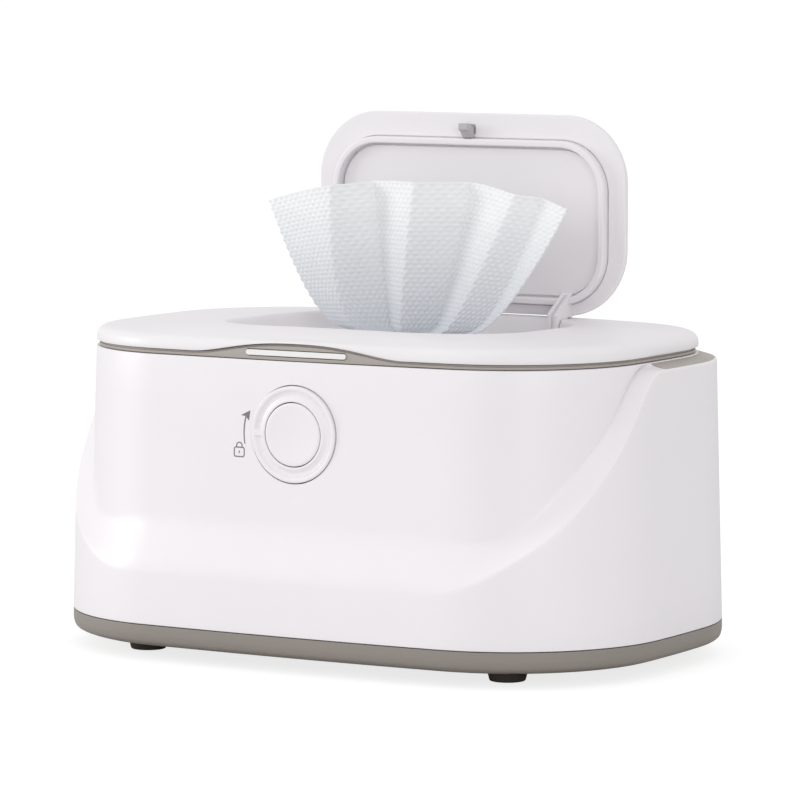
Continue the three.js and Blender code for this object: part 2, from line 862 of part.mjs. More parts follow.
function guideStandoffs(radius, y0, y1) {
  return [-guideStandoffX, guideStandoffX].map((x) => rodY(radius, y0, y1, x, buttonZ));
}

function trimRing() {
  const outerTop = (s) => trimTop + crest(s.x, s.y);
  const bandInner = trimInset + trimWidth;
  const lipInner = bandInner + trimLip;
  const rim = loft(
    [
      row(plan, trimInset, trimBottom),
      row(plan, trimInset, outerTop),
      row(plan, bandInner, outerTop),
      row(plan, bandInner + overrun / 10, trimTop),
      row(plan, lipInner, trimTop),
      row(plan, lipInner, trimLedgeTop),
      row(plan, trimLedgeInset, trimLedgeTop),
      row(plan, trimLedgeInset, trimLedgeHeight),
      row(plan, bandInner, trimLedgeHeight),
      row(plan, bandInner, trimBottom),
    ],
    true,
  );
  const sides = [-1, 1];
  const barrels = sides.flatMap((side) =>
    [-1, 1].map((end) => {
      const near = hingeX * side + end * (hingeLidHalf + hingeGap);
      const far = near + end * hingeBodyWidth;
      const [x0, x1] = [Math.min(near, far), Math.max(near, far)];
      const foot = block(x0, x1, hingeY - hingeLug / 2, hingeY + hingeLug / 2, ledgeHeight, hingeZ);
      return join(rodX(hingeBarrel, x0, x1, hingeY, hingeZ), foot);
    }),
  );
  const pinHole = rodX(hingePin + pinFit, -bodyHalfWidth, bodyHalfWidth, hingeY, hingeZ);
  const front = -bodyHalfDepth;
  const slot = lightBarSolid(fit, front, -bodyHalfDepth + lipInner);
  const board = lightBoardBox(fit, -bodyHalfDepth + bandInner - overrun / 10, -bodyHalfDepth + trimLedgeInset);
  const tongueSlot = block(
    -tongueHalfWidth - tongueSlotMargin,
    tongueHalfWidth + tongueSlotMargin,
    tongueFront - tongueSlotMargin,
    tongueFront + tongueThickness + tongueSlotMargin / 2,
    trimLedgeHeight - overrun,
    trimTop + crestHeight,
  );
  const lugWay = sides.map((side) =>
    block(
      hingeX * side - hingeLidHalf - hingeGap,
      hingeX * side + hingeLidHalf + hingeGap,
      bodyHalfDepth - trimLedgeInset,
      bodyHalfDepth,
      trimTop,
      lidBottom * 2,
    ),
  );
  return cut(join(rim, flangeSolid(0), ...barrels), pinHole, slot, board, tongueSlot, ...lugWay);
}

function lightBarSolid(grow, y0, y1) {
  const halfHeight = lightHalfHeight + grow;
  return roundedPlateY(lightHalfLength + grow, halfHeight, halfHeight * 0.999, 0, lightCentreZ, y0, y1);
}

function lightBar() {
  return lightBarSolid(0, trimInset - bodyHalfDepth - lightProud, trimInset + trimWidth - bodyHalfDepth);
}

function lightBoardBox(grow, y0, y1) {
  const half = lightBoardHalfLength + grow;
  return block(-half, half, y0, y1, lightBoardBottom - grow, lightBoardBottom + lightBoardHeight + grow);
}

function lightBoard() {
  const y0 = trimInset + trimWidth - bodyHalfDepth + fit;
  const y1 = y0 + lightBoardThickness;
  const leds = [-1, 0, 1].map((at) =>
    block(
      at * ledPitch - ledSize,
      at * ledPitch + ledSize,
      y1 - overrun / 2,
      y1 + ledSize / 4,
      lightCentreZ - ledSize,
      lightCentreZ + ledSize / 2,
    ),
  );
  return join(lightBoardBox(0, y0, y1), ...leds);
}

function baseTray() {
  const lipOuter = bodyWall + baseSpigotGap;
  const lipInner = lipOuter + baseLipWall;
  const solid = loft(
    [
      row(plan, baseEdge * 2.4, baseBottom),
      row(plan, baseEdge, baseBottom + baseEdge / 4),
      row(plan, 0, baseBottom + baseEdgeHeight * 0.8),
      row(plan, 0, baseTop),
      row(plan, lipOuter, baseTop),
      row(plan, lipOuter, baseTop + baseLipHeight),
      row(plan, lipInner, baseTop + baseLipHeight),
      row(plan, lipInner, baseFloorTop + baseEdge / 2),
      row(plan, baseEdge * 2.4, baseFloorTop),
    ],
    false,
  );
  const footHoles = footPlaces().map(([x, y]) => rodZ(footStemRadius + fit, 0, baseFloorTop + overrun, x, y, hiddenSegments));
  const bosses = screwPlaces().map(([x, y]) =>
    rodZ(bossRadius, baseFloorTop - overrun, baseTop + baseLipHeight, x, y, hiddenSegments),
  );
  const headTop = baseBottom + screwSink + screwHeadHeight;
  const wells = screwPlaces().map(([x, y]) => rodZ(screwHeadRadius + fit, 0, headTop + fit, x, y, hiddenSegments));
  const shanks = screwPlaces().map(([x, y]) =>
    rodZ(screwRadius + pinFit, 0, baseTop + screwPostHeight, x, y, hiddenSegments),
  );
  const ribs = [-1, 0, 1].map((at) =>
    block(
      at * padRibX - padRibThickness / 2,
      at * padRibX + padRibThickness / 2,
      -padRibHalfLength,
      padRibHalfLength,
      baseFloorTop - overrun,
      padRibTop,
    ),
  );
  const vents = [];
  for (let i = 0; i < ventCount; i++) {
    const x = (i - (ventCount - 1) / 2) * ventPitch - padRibX / 2 - ventPitch / 4;
    for (const place of [x, -x]) {
      vents.push(
        roundedPlateZ(
          ventWidth / 2, ventLength / 2, ventWidth / 2.01, place, 0, 0, baseFloorTop + overrun, ventSteps,
        ),
      );
    }
  }
  const posts = boardCorners().map(([x, y]) =>
    rodZ(boardPostRadius, baseFloorTop - overrun, baseFloorTop + boardStand - fit, x, y, hiddenSegments),
  );
  return join(cut(join(solid, ...bosses), ...footHoles, ...wells, ...shanks, ...vents), ...ribs, ...posts);
}

function footPlaces() {
  return [[-footX, -footY], [footX, -footY], [-footX, footY], [footX, footY]];
}

function foot([x, y]) {
  const barbBottom = baseFloorTop + fit;
  return turnedZ(
    [
      [0, 0],
      [footBottomRadius - footRound, 0],
      [footBottomRadius, footRound],
      [footTopRadius, footHeight],
      [footStemRadius, footHeight],
      [footStemRadius, barbBottom],
      [footBarbRadius, barbBottom],
      [footStemRadius, barbBottom + footBarbHeight],
      [0, barbBottom + footBarbHeight],
    ],
    x,
    y,
    0,
    smallSegments,
  );
}

function baseScrew([x, y]) {
  const headBottom = baseBottom + screwSink;
  const headTop = headBottom + screwHeadHeight;
  const head = rodZ(screwHeadRadius, headBottom, headTop, x, y);
  const slot = block(
    x - screwHeadRadius * 0.6, x + screwHeadRadius * 0.6,
    y - screwRadius / 3, y + screwRadius / 3,
    headBottom - overrun, headBottom + screwHeadHeight / 3,
  );
  const cross = block(
    x - screwRadius / 3, x + screwRadius / 3,
    y - screwHeadRadius * 0.6, y + screwHeadRadius * 0.6,
    headBottom - overrun, headBottom + screwHeadHeight / 3,
  );
  const shank = rodZ(screwRadius, headTop - overrun / 2, headTop + screwLength, x, y, hiddenSegments);
  return cut(join(head, shank), slot, cross);
}

const tubPlan = roundedPlan(tubHalfWidth, tubHalfDepth, tubCorner);

function innerTub() {
  const tub = (inset, z) => row(tubPlan, inset, z, tubCentreY);
  const floorTop = tubFloor + tubWall;
  const solid = loft(
    [
      tub(tubDraft + tubBottomRound, tubFloor),
      tub(tubDraft + tubBottomRound * 0.3, tubFloor + tubBottomRound * 0.3),
      tub(tubDraft, tubFloor + tubBottomRound),
      tub(0, tubFlangeBottom),
      row(plan, tubFlangeInset, tubFlangeBottom),
      row(plan, tubFlangeInset, tubFlangeTop),
      tub(tubWall, tubFlangeTop),
      tub(tubDraft + tubWall, tubFloor + tubBottomRound),
      tub(tubDraft + tubWall + tubBottomRound * 0.6, floorTop),
    ],
    false,
  );
  const notch = block(
    -tongueHalfWidth - tongueSlotMargin,
    tongueHalfWidth + tongueSlotMargin,
    -bodyHalfDepth,
    tongueFront + tongueThickness + tongueSlotMargin / 2,
    tubFlangeBottom - overrun,
    tubFlangeTop + overrun,
  );
  const boardSpace = lightBoardBox(fit, -bodyHalfDepth, trimInset + trimWidth - bodyHalfDepth + fit + lightBoardThickness + ledSize);
  return cut(solid, notch, boardSpace);
}

function heaterPlate() {
  const top = tubFloor - fit;
  return roundedPlateZ(
    heaterHalfWidth, heaterHalfDepth, heaterCorner, 0, tubCentreY, top - heaterPlateThickness, top,
  );
}

function heaterFilm() {
  const top = tubFloor - fit * 2 - heaterPlateThickness;
  return roundedPlateZ(
    heaterHalfWidth - heaterFilmMargin,
    heaterHalfDepth - heaterFilmMargin,
    heaterCorner - heaterFilmMargin,
    0, tubCentreY, top - heaterFilmThickness, top,
  );
}

function padTop() {
  return tubFloor - fit * 3 - heaterPlateThickness - heaterFilmThickness;
}

function thermostat() {
  return join(
    block(
      thermostatX - thermostatLength / 2, thermostatX + thermostatLength / 2,
      thermostatY - thermostatWidth / 2, thermostatY + thermostatWidth / 2,
      padTop() - thermostatHeight, padTop(),
    ),
    ...[-1, 1].map((side) =>
      block(
        thermostatX + side * thermostatLength * 0.8 - thermostatLength * 0.35,
        thermostatX + side * thermostatLength * 0.8 + thermostatLength * 0.35,
        thermostatY - thermostatWidth / 5, thermostatY + thermostatWidth / 5,
        padTop() - thermostatHeight / 2, padTop() - thermostatHeight / 4,
      ),
    ),
  );
}

function insulationPad() {
  const pad = roundedPlateZ(
    heaterHalfWidth - padMargin, heaterHalfDepth - padMargin, heaterCorner,
    0, tubCentreY, padRibTop + fit, padTop(),
  );
  const recess = block(
    thermostatX - thermostatLength * 1.3, thermostatX + thermostatLength * 1.3,
    thermostatY - thermostatWidth / 2 - fit, thermostatY + thermostatWidth / 2 + fit,
    padTop() - thermostatHeight - fit, padTop() + overrun,
  );
  return cut(pad, recess);
}

function boardCorners() {
  const [x0, x1] = [boardX + boardPostMargin, boardX + boardLength - boardPostMargin];
  const [y0, y1] = [boardY + boardPostMargin, boardY + boardWidth - boardPostMargin];
  return [[x0, y0], [x1, y0], [x0, y1], [x1, y1]];
}

function controlBoard() {
  const bottom = baseFloorTop + boardStand;
  const top = bottom + boardThickness;
  const seat = top - boardThickness / 3;
  const middleY = boardY + boardWidth / 2;
  return join(
    block(boardX, boardX + boardLength, boardY, boardY + boardWidth, bottom, top),
    rodZ(capacitorRadius, seat, top + capacitorHeight, boardX + boardLength / 4, middleY),
    rodZ(capacitorRadius * 0.7, seat, top + capacitorHeight * 0.8, boardX + boardLength * 0.45, middleY),
    block(
      boardX + boardLength * 0.62, boardX + boardLength * 0.62 + chipLength,
      middleY - chipWidth / 2, middleY + chipWidth / 2, seat, top + chipHeight,
    ),
  );
}

// Where the rear wall's outer face stands at a place along it
function rearWallY(x) {
  const rear = plan.filter((s) => s.y > 0);
  const next = rear.findIndex((s) => s.x <= x);
  const [right, left] = [rear[next - 1], rear[next]];
  const y = THREE.MathUtils.mapLinear(x, left.x, right.x, left.y, right.y);
  return y - sideInset(socketZ);
}

function powerSocket() {
  const front = rearWallY(socketX + socketFlange) - bodyWall - fit * 2;
  const barrelEnd = rearWallY(socketX + socketRadius) - fit;
  const body = join(
    rodY(socketRadius, front - overrun / 2, barrelEnd, socketX, socketZ),
    block(
      socketX - socketFlange, socketX + socketFlange,
      front - socketFlangeDepth, front,
      socketZ - socketFlange, socketZ + socketFlange,
    ),
    block(
      socketX - socketRadius, socketX + socketRadius,
      front - socketDepth, front - socketFlangeDepth / 2,
      socketZ - socketRadius, socketZ + socketRadius,
    ),
  );
  const bore = rodY(socketBore, front - socketDepth + socketWall, barrelEnd + overrun, socketX, socketZ);
  const pin = rodY(socketPin, front - socketDepth + socketWall / 2, barrelEnd - socketWall, socketX, socketZ);
  return join(cut(body, bore), pin);
}

// The lock ring: a dished ring with a hub that runs through the guide and a lip that holds it there
function lockRing() {
  const face = frontWallY() - ringProud;
  const inner = buttonRadius + ringRun;
  const hub = inner + ringHubWall;
  const hubEnd = face + ringHubDepth;
  const lip = hub + ringLip;
  const solid = turnedY(
    [
      [inner, 0],
      [inner + ringDish, 0],
      [(ringRadius + inner) / 2, ringDish],
      [ringRadius - ringDish, 0],
      [ringRadius, ringDish],
      [ringRadius, ringDepth],
      [hub, ringDepth],
      [hub, ringHubDepth - ringLipDepth],
      [lip, ringHubDepth - ringLipDepth],
      [lip, ringHubDepth],
      [inner, ringHubDepth],
      [inner, 0],
    ],
    0,
    face,
    buttonZ,
    ringSegments,
  );
  const tip = -(inner + ringRadius) / 2;
  const pointer = block(
    -ringRadius - overrun, tip + pointerLength / 2,
    face - overrun, face + pointerDepth,
    buttonZ - pointerWidth / 2, buttonZ + pointerWidth / 2,
  );
  const key = block(-hub, hub, hubEnd - ringLipDepth / 2, hubEnd + overrun, buttonZ - fit * 2, buttonZ + fit * 2);
  return cut(solid, pointer, key);
}

// The push button with a stem that carries the latch slide
function pushButton() {
  const face = frontWallY() - buttonProud;
  const stemEnd = slideRear - slideThickness - fit - face;
  return turnedY(
    [
      [0, buttonDish],
      [buttonRadius / 2, buttonDish * 0.8],
      [buttonRadius - buttonDish, 0],
      [buttonRadius, buttonDish],
      [buttonRadius, buttonDepth],
      [stemRadius, buttonDepth],
      [stemRadius, stemEnd],
      [0, stemEnd],
    ],
    0,
    face,
    buttonZ,
    ringSegments,
  );
}

// Plate behind the front wall that the ring turns in, with a cage for the slide and its spring
function buttonGuide() {
  const front = guideFront();
  const back = front + guideThickness;
  const cageEnd = front + cageDepth;
  const hub = buttonRadius + ringRun + ringHubWall;
  const earReach = guideStandoffX + guideEarMargin;
  const plate = join(
    rodY(guideRadius, front, back, 0, buttonZ, roundSegments),
    block(-earReach, earReach, front, back, buttonZ - guideEarMargin, buttonZ + guideEarMargin),
  );
  const sides = [-1, 1].map((side) => {
    const inner = side * (hub + ringLip + fit * 2);
    const outer = inner + side * cageWall;
    return block(
      Math.min(inner, outer), Math.max(inner, outer),
      back - overrun / 2, cageEnd, buttonZ - cageHeight / 2, buttonZ + cageHeight / 2,
    );
  });
  const reach = hub + ringLip + fit * 2 + cageWall;
  const rear = block(
    -reach, reach, cageEnd - cageWall, cageEnd, buttonZ - cageHeight / 2, buttonZ + cageHeight / 2,
  );
  return cut(
    join(plate, ...sides, rear),
    rodY(hub + ringFit, front - overrun, back + overrun, 0, buttonZ, roundSegments),
    rodY(stemRadius / 2, cageEnd - cageWall - overrun, cageEnd + overrun, 0, buttonZ),
    ...guideStandoffs(screwRadius + pinFit, front - overrun, back + overrun),
  );
}

// Screws that hold the guide to the shell's standoffs
function guideScrew(x) {
  const back = guideFront() + guideThickness + fit;
  return join(
    rodY(screwHeadRadius, back, back + screwHeadHeight, x, buttonZ),
    rodY(screwRadius - fit, frontWallY() + bodyWall + fit, back + overrun / 2, x, buttonZ),
  );
}

function latchSlide() {
  const front = slideRear - slideThickness;
  const nose = tongueFront + tongueThickness + fit;
  const foot = buttonZ - stemRadius * 2;
  return join(
    block(-slideHalfWidth, slideHalfWidth, front, slideRear, foot, slideTop),
    plateX(
      [
        [front + slideThickness / 2, slideTop - slideNoseHeight],
        [front + slideThickness / 2, slideTop],
        [nose, slideTop - slideNoseHeight / 2],
        [nose, slideTop - slideNoseHeight],
      ].reverse(),
      -tongueWindowHalfWidth,
      tongueWindowHalfWidth,
    ),
  );
}

// A helix of round wire with its ends ground flat against the slide and the cage
function buttonSpring() {
  const start = slideRear + fit;
  const end = guideFront() + cageDepth - cageWall - fit;
  const wire = springWire / 2;
  const steps = springTurns * springStepsPerTurn;
  const positions = [];
  const index = [];
  for (let i = 0; i <= steps; i++) {
    const angle = (2 * Math.PI * i) / springStepsPerTurn;
    const pitch = THREE.MathUtils.lerp(start + wire, end - wire, i / steps);
    for (let k = 0; k < springSides; k++) {
      const turn = (2 * Math.PI * k) / springSides;
      const radius = springRadius + wire * Math.cos(turn);
      positions.push(radius * Math.cos(angle), pitch + wire * Math.sin(turn), buttonZ + radius * Math.sin(angle));
    }
  }
  for (let i = 0; i < steps; i++) {
    for (let k = 0; k < springSides; k++) {
      const [a, b] = [i * springSides + k, i * springSides + ((k + 1) % springSides)];
      index.push(a, b, b + springSides, a, b + springSides, a + springSides);
    }
  }
  for (let k = 1; k < springSides - 1; k++) {
    const last = steps * springSides;
    index.push(0, k + 1, k, last, last + k, last + k + 1);
  }
  const gap = (end - start - springWire) / springTurns - springWire;
  console.log("least gap between spring turns " + gap.toFixed(2) + " mm");
  const geometry = new THREE.BufferGeometry();
  geometry.setAttribute("position", new THREE.Float32BufferAttribute(positions, 3));
  geometry.setIndex(index);
  const solid = solidFrom(geometry);
  return solid.volume() < 0 ? solidFrom(flipped(geometry)) : solid;
}

function flipped(geometry) {
  const turned = geometry.clone();
  const order = Array.from(turned.index.array);
  for (let i = 0; i < order.length; i += 3) [order[i], order[i + 1]] = [order[i + 1], order[i]];
  turned.setIndex(order);
  return turned;
}

const dishPlan = roundedPlan(dishHalfWidth, dishHalfDepth, dishCorner);
const orificePlan = roundedPlan(orificeHalfWidth, orificeHalfDepth, orificeHalfDepth * 0.98);

// Height of the main lid's crown at a point near the dish
function crownZ(x, y) {
  return crownHeight - crownSideFall * (x / dishHalfWidth) ** 2 - crownTiltShare * y;
}

// Height of the underside of the main lid's lower edge, which follows the trim's wave
function lidBottomAt(s) {
  return lidBottom + crest(s.x, s.y);
}

function mainLid() {
  const edgeTop = lidBottom + lidEdgeHeight;
  const edge = (inset, share) =>
    row(plan, lidInset + inset, (s) => THREE.MathUtils.lerp(lidBottomAt(s), edgeTop, share));
  const dish = (inset, z) => row(dishPlan, inset, z, dishCentreY);
  const dishTop = (inset, drop) =>
    dish(inset, (s) => crownZ(s.x - s.nx * inset, s.y - s.ny * inset + dishCentreY) - drop);
  const rimTop = dishTop(-dishRimRound * 1.6, 0);
  const edgeRow = edge(lidEdgeInset, 1);
  const crownRow = (share) =>
    between(edgeRow, rimTop, share, (p, i) => edgeTop + (rimTop[i].z - edgeTop) * (1 - (1 - share) ** 1.7));
  const hole = (grow, z) => row(orificePlan, -grow, z, orificeCentreY);
  const ribTopZ = edgeTop - lidWall / 2;
  const underTop = dishTop(-dishRimRound * 2 - lidWall, lidWall);
  const underEdge = row(plan, lidInset + bodyWall + lidWall, (s) =>
    Math.max(edgeTop - lidWall / 2, lidBottomAt(s) + fit / 2) - lidWall / 4,
  );
  const solid = loft(
    [
      edge(0, 0),
      edge(lidEdgeInset * 0.06, 0.58),
      edge(lidEdgeInset * 0.35, 0.87),
      edgeRow,
      crownRow(0.45),
      rimTop,
      dishTop(-dishRimRound * 0.5, dishRimRound * 0.2),
      dishTop(0, dishRimRound),
      dish(dishSlope, dishFloor + dishFillet * 0.45),
      dish(dishSlope + dishFillet * 0.35, dishFloor + dishFillet * 0.1),
      dish(dishSlope + dishFillet, dishFloor),
      hole(0, dishFloor),
      hole(0, dishUnderside),
      dish(dishSlope + dishFillet * 0.4, dishUnderside),
      dish(dishSlope - lidWall, dishFloor + dishFillet * 0.3),
      dishTop(-lidWall, lidWall + dishRimRound * 2),
      underTop,
      row(plan, gasketRibInset + gasketRibWall, ribTopZ),
      row(plan, gasketRibInset + gasketRibWall, gasketRibBottom),
      row(plan, gasketRibInset, gasketRibBottom),
      row(plan, gasketRibInset, ribTopZ),
      underEdge,
      row(plan, lidInset + bodyWall, (s) => Math.max(edgeTop - lidWall * 1.5, lidBottomAt(s) + fit / 2)),
      row(plan, lidInset + bodyWall - fit, lidBottomAt),
    ],
    true,
  );
  const tongueSeat = block(
    -tongueHalfWidth, tongueHalfWidth,
    tongueFront + tongueThickness + fit, gasketRibInset + fit - bodyHalfDepth,
    gasketRibBottom - fit + gasketGroove + fit, ribTopZ,
  );
  const rearWall = bodyHalfDepth - lidInset - bodyWall / 2;
  const sides = [-1, 1];
  const lugs = sides.map((side) => {
    const [x0, x1] = [hingeX * side - hingeLidHalf, hingeX * side + hingeLidHalf];
    const barrel = rodX(hingeBarrel, x0, x1, hingeY, hingeZ);
    return join(barrel, block(x0, x1, rearWall - fit, hingeY, hingeZ - fit, hingeZ + hingeBarrel));
  });
  const blocks = sides.map((side) => hingePocketBlock(side));
  const pockets = sides.flatMap((side) => hingePockets(side));
  const ears = sides.map((side) => hingeEar(side));
  return cut(
    join(cut(join(solid, tongueSeat, ...lugs, ...blocks), ...pockets), ...ears),
    rodX(hingePin + pinFit, -bodyHalfWidth, bodyHalfWidth, hingeY, hingeZ),
    ...sides.map((side) => flipPinRod(side, pinFit)),
    ...catchSeat(),
    ...tonguePegs(pinFit),
  );
}

// Two pegs on the back of the tongue, or grown by a clearance, their holes in the lid
function tonguePegs(grow) {
  const back = tongueFront + tongueThickness;
  return [-1, 1].map((side) =>
    rodY(tonguePeg + grow, back - overrun / 2, back + tonguePegLength + grow, tonguePegX * side, tonguePegZ()),
  );
}

function tonguePegZ() {
  return lidBottom + lidEdgeHeight - lidWall - tonguePeg;
}

// The tongue that hangs from the lid's front edge, with the window that the latch slide's nose enters
function latchTongue() {
  const back = tongueFront + tongueThickness;
  const top = lidBottom + lidEdgeHeight - lidWall * 0.75 - fit;
  const windowBottom = slideTop - slideNoseHeight - fit * 2;
  const plate = plateX(
    [
      [tongueFront, tongueBottom + tongueThickness],
      [tongueFront + tongueThickness * 0.6, tongueBottom],
      [back, tongueBottom],
      [back, top],
      [tongueFront, top],
    ],
    -tongueHalfWidth,
    tongueHalfWidth,
  );
  const window = block(
    -tongueWindowHalfWidth - fit, tongueWindowHalfWidth + fit,
    tongueFront - overrun, back + overrun, windowBottom, windowBottom + tongueWindowHeight,
  );
  return join(cut(plate, window), ...tonguePegs(0));
}

// The thick place under and behind the dish that holds an arm's pocket
function hingePocketBlock(side) {
  const outer = armX + armHalfWidth + fit + earWidth + pocketBlockWall;
  const inner = armX - armHalfWidth - fit - pocketBlockWall;
  const [x0, x1] = side > 0 ? [inner, outer] : [-outer, -inner];
  const wallY = dishRearY;
  const back = wallY + pocketDepth + pocketBlockWall;
  const bottom = dishUnderside + fit / 3;
  return join(
    block(x0, x1, wallY - dishSlope - dishFillet * 2, wallY, bottom, dishFloor - fit / 3),
    block(x0, x1, wallY - dishSlope, back, bottom, crownZ(armX, wallY) - lidWall / 2),
  );
}

// Room for an arm: down into the rear wall of the dish, and a shallow notch over its rim
function hingePockets(side) {
  const half = armHalfWidth + ringFit;
  const [x0, x1] = [armX * side - half, armX * side + half];
  const wallY = dishRearY;
  const swing = Math.hypot(armFrontReach, armShoulderZ - flipPinZ);
  const rimZ = armUndersideZ - fit * 2;
  return [
    block(x0, x1, flipPinY - swing - fit * 2, wallY + pocketDepth, dishFloor + fit / 3, crownHeight + overrun),
    block(x0, x1, wallY, flipInnerY + overrun, rimZ, crownHeight + overrun),
  ];
}

// The ear beside an arm that carries the outer end of its pin
function hingeEar(side) {
  const near = armX + armHalfWidth + ringFit;
  const far = near + earWidth;
  const [x0, x1] = side > 0 ? [near, far] : [-far, -near];
  return block(x0, x1, earFrontY, dishRearY + pocketDepth / 2, dishUnderside + fit, earTop);
}

// Rod through an arm and its ear, as the pin or, grown by a clearance, as its bore
function flipPinRod(side, grow) {
  const from = armX - armHalfWidth - grow;
  const to = armX + armHalfWidth + ringFit + earWidth + grow;
  const [x0, x1] = side > 0 ? [from, to] : [-to, -from];
  return rodX(flipPinRadius + grow, x0, x1, flipPinY, flipPinZ);
}

function mainHingePin(side) {
  const half = hingeLidHalf + hingeGap + hingeBodyWidth;
  return rodX(hingePin, hingeX * side - half, hingeX * side + half, hingeY, hingeZ);
}

function lidGasket() {
  const centre = gasketRibInset + gasketRibWall / 2;
  const [outer, inner] = [centre - gasketHalfWidth, centre + gasketHalfWidth];
  const bottom = tubFlangeTop + fit;
  const grooveZ = gasketRibBottom - fit;
  const top = grooveZ + gasketGroove;
  return loft(
    [
      row(plan, outer + gasketHalfWidth / 2, bottom),
      row(plan, outer, top),
      row(plan, gasketRibInset - fit, top),
      row(plan, gasketRibInset - fit, grooveZ),
      row(plan, gasketRibInset + gasketRibWall + fit, grooveZ),
      row(plan, gasketRibInset + gasketRibWall + fit, top),
      row(plan, inner, top),
      row(plan, inner - gasketHalfWidth / 2, bottom),
    ],
    true,
  );
}

// Rigid frame clipped in the orifice, which holds the soft insert
function orificeFrame() {
  const ring = (grow, z) => row(orificePlan, -grow, z, orificeCentreY);
  const bottom = dishUnderside - fit - frameThickness;
  const flangeBottom = dishFloor + fit;
  const flangeTop = flangeBottom + frameThickness;
  return loft(
    [
      ring(-fit, bottom),
      ring(frameClip, dishUnderside - fit),
      ring(-fit, dishUnderside - fit),
      ring(-fit, flangeBottom),
      ring(frameFlange, flangeBottom),
      ring(frameFlange - frameThickness / 2, flangeTop),
      ring(-fit - frameWall, flangeTop),
      ring(-fit - frameWall, bottom),
    ],
    true,
  );
}

// Soft insert with the slot that grips the wipe, seated under the frame's inner edge
function orificeInsert() {
  const outer = orificeHalfWidth - fit * 2 - frameWall;
  const outerDepth = orificeHalfDepth - fit * 2 - frameWall;
  const z0 = (dishFloor + dishUnderside) / 2;
  const sheet = roundedPlateZ(outer, outerDepth, outerDepth * 0.98, 0, orificeCentreY, z0, z0 + insertThickness);
  const lip = roundedPlateZ(
    slotHalfLength + insertFlange * 2, slotHalfWidth + insertFlange * 2, slotHalfWidth + insertFlange * 1.9,
    0, wipeY, z0, z0 + insertThickness * 1.6,
  );
  const slot = roundedPlateZ(
    slotHalfLength, slotHalfWidth, slotHalfWidth * 0.98, 0, wipeY, z0 - overrun, z0 + insertThickness * 3,
  );
  return cut(join(sheet, lip), slot);
}

// Where the closed flip lid's hook ends, which sets the place of its catch
function catchFaceY() {
  return flipPinY + flipPinZ - hookTop - catchGap;
}

function hookCatch() {
  const face = catchFaceY();
  const back = face - catchThickness;
  const base = dishFloor + fit;
  const middle = (base + catchTop) / 2;
  return join(
    plateX(
      [
        [back, base],
        [face, base],
        [face, middle],
        [face + catchNose, middle + catchNose],
        [face, catchTop],
        [back + catchThickness / 3, catchTop],
        [back, middle],
      ],
      -catchHalfWidth,
      catchHalfWidth,
    ),
    block(-catchHalfWidth, catchHalfWidth, back - catchFootLength / 4, face + catchFootLength / 2, base, base + catchFootHeight),
    rodZ(catchThickness / 2, dishUnderside - fit, base + catchFootHeight / 2, 0, back + catchThickness / 2),
  );
}

function catchSeat() {
  const y = catchFaceY() - catchThickness / 2;
  return [rodZ(catchThickness / 2 + fit, dishUnderside - overrun, dishFloor + overrun / 2, 0, y)];
}

// Stations of a rounded rectangle in the XZ plane, as points at a depth y. It runs so that the loft's
// lower rows face the viewer.
function standing(halfWidth, z0, z1, radius, inset, y) {
  const half = (z1 - z0) / 2;
  const outline = roundedPlan(halfWidth, half, radius);
  const centre = (z0 + z1) / 2;
  return outline.map((s) => new THREE.Vector3(s.x - s.nx * inset, y, centre + s.y - s.ny * inset));
}

function flipLid() {
  const back = flipInnerY + flipThickness;
  const skin = (inset, y) => standing(flipHalfWidth, flipBottom, flipTop, flipCorner, inset, y);
  const plate = loft(
    [
      skin(flipEdgeRound * 0.5, flipInnerY),
      skin(0, flipInnerY + flipEdgeRound * 0.6),
      skin(0, back - flipEdgeRound),
      skin(flipEdgeRound * 1.2, back),
      skin(flipCorner * 0.6, back + flipCrown),
    ].reverse(),
    false,
  );
  const ring = (inset, y) => standing(ribHalfWidth, ribBottom, ribTop, ribCorner, inset, y);
  const ribFace = flipInnerY - ribHeight;
  const rib = loft(
    [
      ring(0, flipInnerY + overrun),
      ring(0, ribFace + flipEdgeRound * 0.4),
      ring(flipEdgeRound * 0.4, ribFace),
      ring(ribWidth - flipEdgeRound * 0.4, ribFace),
      ring(ribWidth, ribFace + flipEdgeRound * 0.4),
      ring(ribWidth, flipInnerY + overrun),
    ],
    true,
  );
  const arms = [-1, 1].map((side) => flipArm(side));
  const socket = hookSocket(fit / 2);
  return cut(join(plate, rib, ...arms), socket);
}

// One hinge arm: a slope from the lid down to its front face, a foot round the pin, and a channel
// down its face between two ribs
function flipArm(side) {
  const corners = [
    [flipInnerY + overrun, armTopZ],
    [flipInnerY, armTopZ],
    [armFrontY, armShoulderZ],
    [armFrontY, flipPinZ - armFrontDrop],
    [armFrontY + armBottomDrop * 0.8, flipPinZ - armBottomDrop],
    [flipPinY + armFrontDrop / 2, flipPinZ - armBottomDrop],
    [armRearY, flipPinZ - armFrontDrop / 2],
    [armRearY, armUndersideZ],
    [flipInnerY - fit, armUndersideZ],
    [flipInnerY, armUndersideZ + fit],
    [flipInnerY + overrun, armUndersideZ + fit],
  ];
  const centre = armX * side;
  const arm = plateX([...corners].reverse(), centre - armHalfWidth, centre + armHalfWidth);
  const channel = plateX(
    [
      [flipInnerY - armChannelDepth, armTopZ + armChannelDepth * 2],
      [armFrontY - armChannelDepth, armShoulderZ + armChannelDepth * 1.6],
      [armFrontY - armChannelDepth, armShoulderZ - armChannelDepth],
      [armFrontY + armChannelDepth / 2, armShoulderZ - armChannelDepth],
      [flipInnerY - armChannelDepth, armTopZ - armChannelDepth * 2],
    ].reverse(),
    centre - armChannelWidth / 2,
    centre + armChannelWidth / 2,
  );
  const hole = rodX(
    flipPinRadius + pinFit, centre - armHalfWidth - overrun, centre + armHalfWidth + overrun, flipPinY, flipPinZ,
  );
  return cut(arm, channel, hole);
}

